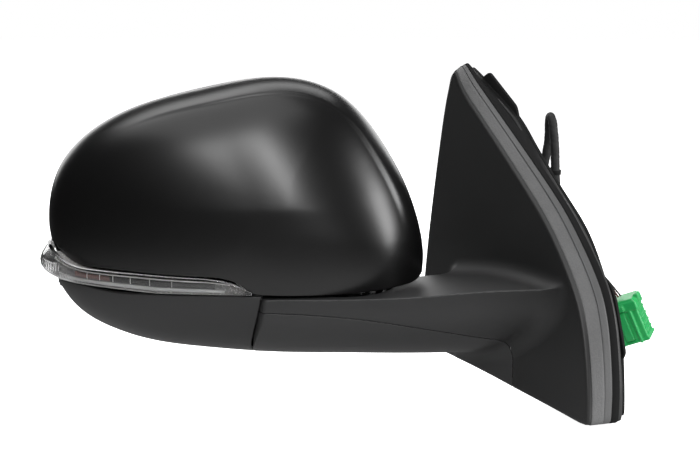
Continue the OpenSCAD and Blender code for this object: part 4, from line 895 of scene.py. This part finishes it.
def foot():
    import openvdb as vdb
    vox = 0.62
    lo = np.array([-182.0, -131.0, -72.0])
    hi = np.array([3.0, 108.0, 153.0])
    i0 = np.floor(lo / vox).astype(int)
    dims = np.ceil((hi - lo) / vox).astype(int) + 1
    half = 15.0 / vox

    def level(V, F):
        P, T = tri(V, F)
        g = vdb.FloatGrid.createLevelSetFromPolygons(P, triangles=T, transform=vdb.createLinearTransform(voxelSize=vox), halfWidth=half)
        A = np.empty(tuple(dims), np.float32)
        g.copyToArray(A, ijk=tuple(int(q) for q in i0))
        return A

    rings = np.array([sail_ring(1, 0, -1.9, -0.25), sail_ring(1, 0, -1.2, -0.12), sail_ring(0.99, 0, -0.45), sail_ring(0.965, 0, 0.0), sail_ring(0.93, 0.6, 0.0), sail_ring(0.6, 7.1, 0.0), sail_ring(0.34, 9.6, 0.2), sail_ring(0.27, 9.4, 0.1), sail_ring(0.24, 8.6, 0.0), back_ring(-6, -0.4), back_ring(-2.6, -0.6), back_ring(2.5, -0.6)])
    d1 = level(*rod(rings))
    st = np.array([arm_section(u) for u in np.linspace(-176, 22, 170)])
    vv, ff = rod(st)
    d2 = level(row(vv) * 1000.0, ff)
    x = ((np.arange(dims[0]) + i0[0]) * vox)[:, None, None].astype(np.float32)
    y = ((np.arange(dims[1]) + i0[1]) * vox)[None, :, None].astype(np.float32)
    z = ((np.arange(dims[2]) + i0[2]) * vox)[None, None, :].astype(np.float32)
    u2 = (x * C - y * S)[..., 0]
    v2 = (x * S + y * C)[..., 0]
    rp = np.hypot(u2 - PV[0], v2 - PV[1])
    ends = np.minimum(rp - (SEAM_R - 0.5), PV[0] - u2)
    d2 = smax(d2, ends[..., None], 1.4)
    d = smin(d1, d2, 10.0)
    del d1, d2
    # walls, open at the door side, with a round opening under the head
    wall = -(d + 2.6)
    d = np.maximum(d, wall)
    del wall
    d = smax(d, np.broadcast_to(x + 2.6, d.shape), 0.8)
    hole = np.minimum((28.0 - rp)[..., None], z + 20.0)
    hole = np.minimum(hole, 6.0)
    # parting line, as a distance in the plane of u and w
    line = np.asarray(PART_LINE, float)
    pl = line_at(line, np.linspace(0, 1, 260))
    ug = np.arange(-215.0, 60.0, 0.5)
    wg = np.arange(-70.0, 160.0, 0.5)
    UU, WW = np.meshgrid(ug, wg, indexing="ij")
    P2 = np.stack([UU.ravel(), WW.ravel()], -1)
    best = np.full(len(P2), 1e9)
    for a, b in zip(pl[:-1], pl[1:]):
        ab = b - a
        k = np.clip(((P2 - a) @ ab) / (ab @ ab), 0, 1)
        best = np.minimum(best, np.linalg.norm(P2 - a - k[:, None] * ab, axis=-1))
    wl = np.interp(P2[:, 0], pl[:, 0], pl[:, 1])
    below = (P2[:, 1] < wl) & (P2[:, 0] < pl[-1, 0])
    tab = np.where(below, -best, best).reshape(UU.shape).astype(np.float32)
    fu = np.clip((u2 - ug[0]) / 0.5, 0, len(ug) - 1.001)
    iu = fu.astype(int)
    fu = (fu - iu)[..., None].astype(np.float32)
    zw = np.clip((z[0, 0] - wg[0]) / 0.5, 0, len(wg) - 1.001)
    iw = zw.astype(int)
    fw = (zw - iw)[None, None, :].astype(np.float32)
    t0 = tab[:, iw] * (1 - fw[0]) + tab[:, iw + 1] * fw[0]
    part = t0[iu] * (1 - fu) + t0[iu + 1] * fu

    def build(A, name, replaced, slot_name):
        A = np.clip(A, -3 * vox, 3 * vox).astype(np.float32)
        g = vdb.FloatGrid(3 * vox)
        g.copyFromArray(A, ijk=tuple(int(q) for q in i0), tolerance=0.0)
        g.transform = vdb.createLinearTransform(voxelSize=vox)
        out = g.convertToPolygons(isovalue=0.0, adaptivity=0.0)
        pts, quads = (out[0], out[-1]) if len(out) == 2 else (out[0], out[2])
        pts = np.asarray(pts, float)
        quads = np.asarray(quads)
        F = quads.tolist()
        if len(out) == 3 and len(out[1]):
            F += np.asarray(out[1]).tolist()
        # a light relax takes the voxel facets out
        nb = np.concatenate([quads[:, [0, 1]], quads[:, [1, 2]], quads[:, [2, 3]], quads[:, [3, 0]]])
        for k, lam in ((0, 0.5), (1, -0.52), (2, 0.5), (3, -0.52), (4, 0.5), (5, -0.52)):
            acc = np.zeros_like(pts)
            cnt = np.zeros(len(pts))
            np.add.at(acc, nb[:, 0], pts[nb[:, 1]])
            np.add.at(acc, nb[:, 1], pts[nb[:, 0]])
            np.add.at(cnt, nb[:, 0], 1)
            np.add.at(cnt, nb[:, 1], 1)
            pts = pts + lam * (acc / np.maximum(cnt, 1)[:, None] - pts)
        new_mesh(name, pts * 0.001, F, "base", M[slot_name], replaced, 55)

    build(smax(smax(d, hole, 1.0), -part, 0.6), "foot_shell", ["foot_cover"], "foot_moulding")
    build(smax(d, part + 0.04, 0.55), "arm_lower_shell", ["arm_lower_cover"], "arm_moulding")


foot()


def band(name, ra, rb, s0, s1, up, down, mat):
    """Moulded strip laid between two rings of the sail rim, with rolled edges."""
    A, B = ra, rb
    d = B - A
    L = np.linalg.norm(d, axis=-1, keepdims=True)
    tang = unit(np.roll(A, -1, 0) - np.roll(A, 1, 0))
    nrm = unit(np.cross(d / np.maximum(L, 1e-9), tang))
    out = np.stack([np.full(len(A), -1.0), np.zeros(len(A)), np.zeros(len(A))], -1)
    mid = A.mean(0)
    sgn = np.sign(((A - mid) * nrm).sum(-1, keepdims=True) + 0.6 * (out * nrm).sum(-1, keepdims=True) * 20)
    nrm = nrm * np.where(sgn == 0, 1, sgn)
    sec = []
    for f, h in [(0.0, -down), (0.0, up - 0.35), (0.02, up - 0.12), (0.06, up), (0.25, up), (0.5, up), (0.75, up), (0.94, up), (0.98, up - 0.12), (1.0, up - 0.35), (1.0, -down)]:
        s = s0 + (s1 - s0) * f
        sec.append(A + d * s + nrm * h)
    P = np.stack(sec, 1)
    V, F = hoop(P)
    return new_mesh(name, V * 0.001, F, "base", mat, [], 40)


band("sail_band_wide", sail_ring(0.93, 0.6, 0.0), sail_ring(0.6, 7.1, 0.0), 0.06, 0.85, 0.40, 0.8, M["band_grain"])
band("sail_band_narrow", sail_ring(0.6, 7.1, 0.0), sail_ring(0.34, 9.6, 0.2), -0.22, 0.40, 0.40, 0.8, M["band_fine"])


# the seal's lip lies along the outer edge of the sail, behind the narrow strip
def seal_lip():
    R0, Cc, D = sail_ring(0.6, 7.1, 0.0), sail_ring(0.34, 9.6, 0.2), back_ring(-3.0, -0.4)
    A = R0 + (Cc - R0) * 0.46
    tang = unit(np.roll(A, -1, 0) - np.roll(A, 1, 0))
    na = unit(np.cross(Cc - A, tang))
    mid = A.mean(0)
    sgn = np.sign(((A - mid) * na).sum(-1, keepdims=True) - 12.0 * na[:, :1])
    na = na * np.where(sgn == 0, 1, sgn)
    td = unit(np.roll(D, -1, 0) - np.roll(D, 1, 0))
    nd_ = unit(np.stack([np.zeros(len(D)), td[:, 2], -td[:, 1]], -1))
    nd_ = nd_ * np.sign(((D - D.mean(0)) * nd_).sum(-1, keepdims=True))
    nc = unit(na + nd_)
    sec = [A - na * 0.9, A + na * 0.15, A + (Cc - A) * 0.10 + na * 0.48, A + (Cc - A) * 0.80 + na * 0.52, Cc + nc * 0.55, Cc + (D - Cc) * 0.25 + nd_ * 0.55, Cc + (D - Cc) * 0.88 + nd_ * 0.55, D + nd_ * 0.2, D - nd_ * 0.9, Cc - nc * 1.1]
    V, F = hoop(np.stack(sec, 1))
    new_mesh("door_seal_lip", V * 0.001, F, "base", M["seal_rubber"], [], 40)


seal_lip()


# ---------------------------------------------------------------- door gasket with its two locating tabs
def gasket():
    base = soften(dense_outline(GASK, PER), 6)
    d = unit(np.roll(base, -1, 0) - np.roll(base, 1, 0))
    k = np.stack([-d[:, 1], d[:, 0]], -1)
    sec = []
    for x, o in [(-2.55, -0.5), (-2.1, 0.0), (-0.5, 0.0), (-0.12, -0.35), (0.0, -1.0), (0.0, -2.4), (-0.4, -2.8), (-0.4, -3.6), (0.0, -4.0), (0.0, -6.2), (-0.3, -6.7), (-2.3, -6.7), (-2.55, -6.3)]:
        p = base + k * o
        sec.append(np.stack([np.full(len(p), x), p[:, 0], p[:, 1]], -1))
    V, F = hoop(np.stack(sec, 1))
    parts = [(V, F)]
    for q in ([[1, 112], [38, 134], [34.3, 139.7], [27.3, 143.6], [-1.1, 123.3], [-4, 116]], [[-90, 18], [-93.2, 21.8], [-99.1, 16.9], [-103.2, 9.1], [-112.8, -24], [-108.4, -31], [-103, -31]]):
        q = np.array(q, float)
        n = len(q)
        dense = []
        for i in range(n):
            a, b, c = q[i - 1], q[i], q[(i + 1) % n]
            L1, L2 = np.linalg.norm(b - a), np.linalg.norm(c - b)
            p0, p2 = b + (a - b) * min(0.45, 2.2 / L1), b + (c - b) * min(0.45, 2.2 / L2)
            for f in np.linspace(0, 1, 7):
                dense.append((1 - f) ** 2 * p0 + 2 * f * (1 - f) * b + f * f * p2)
        dense = np.array(dense)
        cen = dense.mean(0)
        dd = unit(cen - dense)
        st = []
        for x, o in [(-2.3, 0.5), (-2.22, 0.2), (-2.0, 0.0), (-0.6, 0.0), (-0.36, 0.2), (-0.3, 0.5)]:
            p = dense + dd * o
            st.append(np.stack([np.full(len(p), x), p[:, 0], p[:, 1]], -1))
        parts.append(rod(np.array(st)))
    V, F = join_parts(parts)
    new_mesh("door_gasket_seal", V * 0.001, F, "base", M["seal_rubber"], ["door_gasket"], 40)


gasket()

# ---------------------------------------------------------------- door cable, wires and connector
LOOP = [[-12, 14, 6], [-4, 14, 6], [4.6, 13.9, 6.6], [11.6, 9.8, 22], [20, 3, 60], [24.5, -2.5, 95], [23.5, -5, 111], [21.6, -8.5, 115.5], [20.4, -12.5, 111], [20, -15.4, 95], [19.4, -18, 70], [21, -24, 45], [24, -33, 28], [27.4, -41, 19.5]]
INNER = [[-108, 37.5, -5], [-108, 37.5, -16], [-108, 37.5, -24], [-105, 37, -29.4], [-96, 34, -31.2], [-72, 25, -30], [-46, 14, -26.5], [-30, 9, -24.6], [-22, 10, -24], [-16, 14, -14], [-14, 14, -2], [-12, 14, 6]]


def tape_wrap(L, ang):
    turn = (L / 9.0 + ang / (2 * math.pi)) % 1.0
    lap = 0.16 * np.clip((turn - 0.0) / 0.06, 0, 1) * (1 - turn)
    crinkle = 0.05 * np.sin(L * 2.1 + 3 * ang) + 0.04 * np.sin(L * 0.83 - 2 * ang + 1.3)
    return lap + crinkle - 0.06


def cable():
    a = line_at(INNER, np.linspace(0, 1, 260))
    b = line_at(LOOP, np.linspace(0, 1, 420))
    P = np.concatenate([a[:-1], b])
    V, F = cord(P, 2.95, 28, 0.8, tape_wrap)
    new_mesh("door_cable_taped", V * 0.001, F, "base", M["tape"], ["door_harness"], 40)


cable()


def cable_strap():
    c0 = np.array([19.7, -16.7, 79.6])
    k = math.radians(5)
    ax = np.array([0.0, -math.sin(k), math.cos(k)])
    e1 = np.array([1.0, 0.0, 0.0])
    e2 = np.cross(ax, e1)
    sec = []
    for r, h in [(2.9, -1.5), (3.55, -1.55), (3.72, -1.3), (3.72, 1.3), (3.55, 1.55), (2.9, 1.5)]:
        ang = np.linspace(0, 2 * math.pi, 72, endpoint=False)
        lump = 0.05 * np.cos(24 * ang) * (r > 4)
        sec.append(c0 + np.outer((r + lump) * np.cos(ang), e1) + np.outer((r + lump) * np.sin(ang), e2) + h * ax)
    parts = [hoop(np.stack(sec, 1))]
    # the locking head, square with rounded edges, behind the cable as seen from the front
    st = []
    for d, k2 in [(3.3, 0.86), (3.6, 1.0), (6.4, 1.0), (6.9, 0.92), (7.1, 0.8)]:
        ang = np.linspace(0, 2 * math.pi, 32, endpoint=False)
        q = np.stack([np.sign(np.cos(ang)) * np.abs(np.cos(ang)) ** 0.35 * 2.1 * k2, np.sign(np.sin(ang)) * np.abs(np.sin(ang)) ** 0.35 * 2.3 * k2], -1)
        out_dir = unit(np.array([0.5, 1.0, 0.09]))
        side = unit(np.cross(out_dir, ax))
        st.append(c0 + out_dir * d + np.outer(q[:, 0], side) + np.outer(q[:, 1], ax))
    parts.append(rod(np.array(st)))
    V, F = join_parts(parts)
    new_mesh("cable_tie_strap", V * 0.001, F, "base", M["seal_rubber"], ["cable_tie"], 40)


cable_strap()

PLUG_AT = np.array([73.5, -15.0, -17.0])


def rot_xyz(ax, ay, az):
    ax, ay, az = map(math.radians, (ax, ay, az))
    X = np.array([[1, 0, 0], [0, math.cos(ax), -math.sin(ax)], [0, math.sin(ax), math.cos(ax)]])
    Y = np.array([[math.cos(ay), 0, math.sin(ay)], [0, 1, 0], [-math.sin(ay), 0, math.cos(ay)]])
    Z = np.array([[math.cos(az), -math.sin(az), 0], [math.sin(az), math.cos(az), 0], [0, 0, 1]])
    return Z @ Y @ X


PLUG_R = rot_xyz(14.4, -19.9, -23.1)


def at_plug(V):
    return row((PLUG_R @ np.asarray(V, float).T).T + PLUG_AT)


def wires():
    mats = [M["wire_brown"], M["wire_black"], M["wire_grey"], M["wire_brown"], M["wire_black"]]
    for k in range(5):
        pts = [[47.1, -18.6 + (k - 2) * 1.05, 18.2 + (k % 2) * 1.6 - 0.8], [53, -19 + (k - 2) * 0.6, 15 + (k - 2) * 0.9], [60, -18, 7 + (k - 2) * 1.25], [65.5 + (k - 2) * 1.6, -17, -2.6 + (k - 2) * 0.8]]
        P = line_at(pts, np.linspace(0, 1, 90))
        V, F = cord(P, 0.62, 14, 0.25)
        new_mesh("harness_wire_%d" % (k + 1), row(V), F, "base", mats[k], ["harness_wires"], 40)


wires()


def plug():
    parts = []
    # body with moulded side ribs, mating lip, collar, latch and guards
    parts.append(rounded_box((23, 15, 31), 1.1, (0, 0, 0)))
    parts.append(rounded_box((25.4, 17.4, 6.8), 1.2, (0, 0, 10.9)))
    parts.append(rounded_box((24.2, 16.2, 2.2), 0.7, (0, 0, -14.2)))
    for s in (-1, 1):
        parts.append(rounded_box((1.9, 3.0, 23.6), 0.6, (s * 6.6, -7.9, -3.7)))
        for z in (-9.5, -4.6, 0.3, 5.2):
            parts.append(rounded_box((1.5, 12.4, 1.5), 0.5, (s * 11.7, 0, z)))
    parts.append(rounded_box((5.8, 2.6, 20), 0.8, (0, -8.7, -2)))
    parts.append(rounded_box((8.6, 2.8, 4.2), 0.9, (0, -9.2, 11.2)))
    for z in (9.9, 11.2, 12.5):
        parts.append(rounded_box((7.6, 0.9, 0.6), 0.25, (0, -10.6, z), 2))
    parts.append(rounded_box((3.7, 5.8, 5.8), 0.9, (12.4, 0, 13.4)))
    for k in range(-2, 3):
        parts.append(rounded_box((1.2, 1.5, 18), 0.45, (k * 4.3, 7.7, -4)))
    V, F = join_parts(parts)
    bm_union("connector_body", at_plug(V), F, parts)


def bm_union(name, V, F, parts):
    """Fuses the overlapping moulded features into one skin with a fine remesh."""
    me = bpy.data.meshes.new(name)
    me.from_pydata([tuple(p) for p in V], [], F)
    me.update()
    ob = bpy.data.objects.new(name, me)
    bpy.context.scene.collection.objects.link(ob)
    bm = bmesh.new()
    bm.from_mesh(me)
    bmesh.ops.recalc_face_normals(bm, faces=bm.faces)
    bm.to_mesh(me)
    bm.free()
    md = ob.modifiers.new("fuse", "REMESH")
    md.mode = "VOXEL"
    md.voxel_size = 0.00024
    md.adaptivity = 0.0
    md.use_smooth_shade = True
    dg = bpy.context.evaluated_depsgraph_get()
    done = bpy.data.meshes.new_from_object(ob.evaluated_get(dg))
    ob.modifiers.clear()
    ob.data = done
    done.materials.clear()
    done.materials.append(M["green_plug"])
    bm = bmesh.new()
    bm.from_mesh(done)
    bmesh.ops.smooth_vert(bm, verts=bm.verts, factor=0.5, use_axis_x=True, use_axis_y=True, use_axis_z=True)
    for f in bm.faces:
        f.smooth = True
    bm.to_mesh(done)
    bm.free()
    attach(ob, "base")
    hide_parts("harness_plug")
    return ob


plug()

# ---------------------------------------------------------------- carried-over CAD pieces: finish, and a fine edge break on the turned and moulded ones
for name, ob in frame["nodes"].items():
    if ob.hide_render:
        continue
    slot_name = SLOT_OF.get(name)
    mat = M.get(slot_name) or M["frame_plastic"]
    # the detent ring shows in the gap under the head; its dark phosphate finish also paints the shade in that gap
    if name == "detent_ring":
        mat = M["phosphate"]
    ob.data.materials.clear()
    ob.data.materials.append(mat)
    if name in ("base_bracket", "head_frame", "cable_grommet", "cable_tie", "fold_housing", "actuator_base", "actuator_cover", "housing_floor", "fold_cap"):
        md = ob.modifiers.new("edge_break", "BEVEL")
        md.width = 0.0006 if name == "base_bracket" else 0.0003
        md.segments = 2
        md.limit_method = "ANGLE"
        md.angle_limit = math.radians(38)
        md.harden_normals = False
        md.use_clamp_overlap = True

# ---------------------------------------------------------------- stage, light and camera
lo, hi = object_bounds()
scene = bpy.context.scene


def stage_floor():
    z = lo.z - 0.0005
    me = bpy.data.meshes.new("studio_floor")
    ys = [(-3.0, 0.0), (3.0, 0.0)]
    V, F = [], []
    for (d, h) in ys:
        for s in (-4.0, 4.0):
            x = s * C + d * S
            y = -s * S + d * C
            V.append((x, y, z + h))
    for k in range(len(ys) - 1):
        F.append((2 * k, 2 * k + 1, 2 * k + 3, 2 * k + 2))
    me.from_pydata(V, [], F)
    ob = bpy.data.objects.new("studio_floor", me)
    scene.collection.objects.link(ob)
    for p in me.polygons:
        p.use_smooth = True
    m = bpy.data.materials.new("studio_floor")
    m.use_nodes = True
    nt = m.node_tree
    b = nt.nodes["Principled BSDF"]
    lpn = nt.nodes.new("ShaderNodeLightPath")
    mx = nt.nodes.new("ShaderNodeMix")
    mx.data_type = "RGBA"
    # pale near the mirror, fading to a dim room further out for the light it throws back
    geo = nt.nodes.new("ShaderNodeNewGeometry")
    dist = nt.nodes.new("ShaderNodeVectorMath")
    dist.operation = "DISTANCE"
    dist.inputs[1].default_value = ((lo.x + hi.x) / 2, (lo.y + hi.y) / 2, z)
    nt.links.new(geo.outputs["Position"], dist.inputs[0])
    fall = nt.nodes.new("ShaderNodeMapRange")
    fall.inputs["From Min"].default_value = 0.16
    fall.inputs["From Max"].default_value = 0.50
    fall.inputs["To Min"].default_value = 0.78
    fall.inputs["To Max"].default_value = 0.03
    nt.links.new(dist.outputs["Value"], fall.inputs["Value"])
    nt.links.new(fall.outputs["Result"], mx.inputs[6])
    mx.inputs[7].default_value = (0.93, 0.93, 0.935, 1)
    nt.links.new(lpn.outputs["Is Camera Ray"], mx.inputs[0])
    nt.links.new(mx.outputs[2], b.inputs["Base Color"])
    b.inputs["Roughness"].default_value = 0.85
    b.inputs["Specular IOR Level"].default_value = 0.1
    b.inputs["Emission Color"].default_value = (1, 1, 1, 1)
    nt.links.new(lpn.outputs["Is Camera Ray"], b.inputs["Emission Strength"])
    me.materials.append(m)
    return ob


stage_floor()


def head_point(u, v, w):
    return Vector(row(np.array([u, v, w], float)))


def softbox(name, at, aim, size, power, roll_deg=0.0):
    ld = bpy.data.lights.new(name, "AREA")
    ld.shape = "RECTANGLE"
    ld.size, ld.size_y = size
    ld.energy = power
    ob = bpy.data.objects.new(name, ld)
    scene.collection.objects.link(ob)
    p, q = head_point(*at), head_point(*aim)
    ob.location = p
    ob.rotation_mode = "QUATERNION"
    ob.rotation_quaternion = (q - p).to_track_quat("-Z", "Y") @ Quaternion((0, 0, 1), math.radians(roll_deg))
    ob.visible_camera = False
    return ob


softbox("key_strip", (-118, -1400, 965), (-150, -50, 85), (0.12, 1.25), 16.8, 27)
softbox("top_front", (-420, -250, 1300), (-160, -30, 90), (1.3, 0.9), 6.5)
softbox("fill_front", (260, -1450, 60), (-120, -40, 10), (0.8, 0.6), 0.4)
softbox("top_rear", (-250, 450, 1200), (-120, 0, 60), (1.6, 0.4), 8)
softbox("back_low", (-60, 1000, 330), (-60, 0, 40), (2.4, 0.45), 9)
softbox("side_right", (1015, -270, 290), (40, -10, 40), (0.42, 0.68), 11)

world = bpy.data.worlds.new("studio")
scene.world = world
world.use_nodes = True
nt = world.node_tree
nt.nodes.clear()
scene.view_settings.view_transform = "Standard"
out = nt.nodes.new("ShaderNodeOutputWorld")
cam_bg = nt.nodes.new("ShaderNodeBackground")
cam_bg.inputs[0].default_value = (1.0, 1.0, 1.0, 1)
cam_bg.inputs[1].default_value = 1.0
env = nt.nodes.new("ShaderNodeBackground")
env.inputs[0].default_value = (0.93, 0.95, 1.0, 1)
env.inputs[1].default_value = 0.025
mix = nt.nodes.new("ShaderNodeMixShader")
lp = nt.nodes.new("ShaderNodeLightPath")
nt.links.new(lp.outputs["Is Camera Ray"], mix.inputs[0])
nt.links.new(env.outputs[0], mix.inputs[1])
nt.links.new(cam_bg.outputs[0], mix.inputs[2])
nt.links.new(mix.outputs[0], out.inputs[0])

cam_data = bpy.data.cameras.new("camera")
cam_data.sensor_width = 36.0
cam_data.lens = 1600.0 / 0.66 / 700.0 * 36.0
cam_data.clip_start, cam_data.clip_end = 0.05, 20.0
cam = bpy.data.objects.new("camera", cam_data)
scene.collection.objects.link(cam)
E = math.radians(9.0)
target = np.array([-110.0, -10.0, 40.0])
eye = target - 1600.0 * np.array([0.0, math.cos(E), -math.sin(E)])
cam.location = Vector(row(eye))
cam.rotation_mode = "QUATERNION"
cam.rotation_quaternion = (Vector(row(target)) - cam.location).to_track_quat("-Z", "Y")
scene.camera = cam
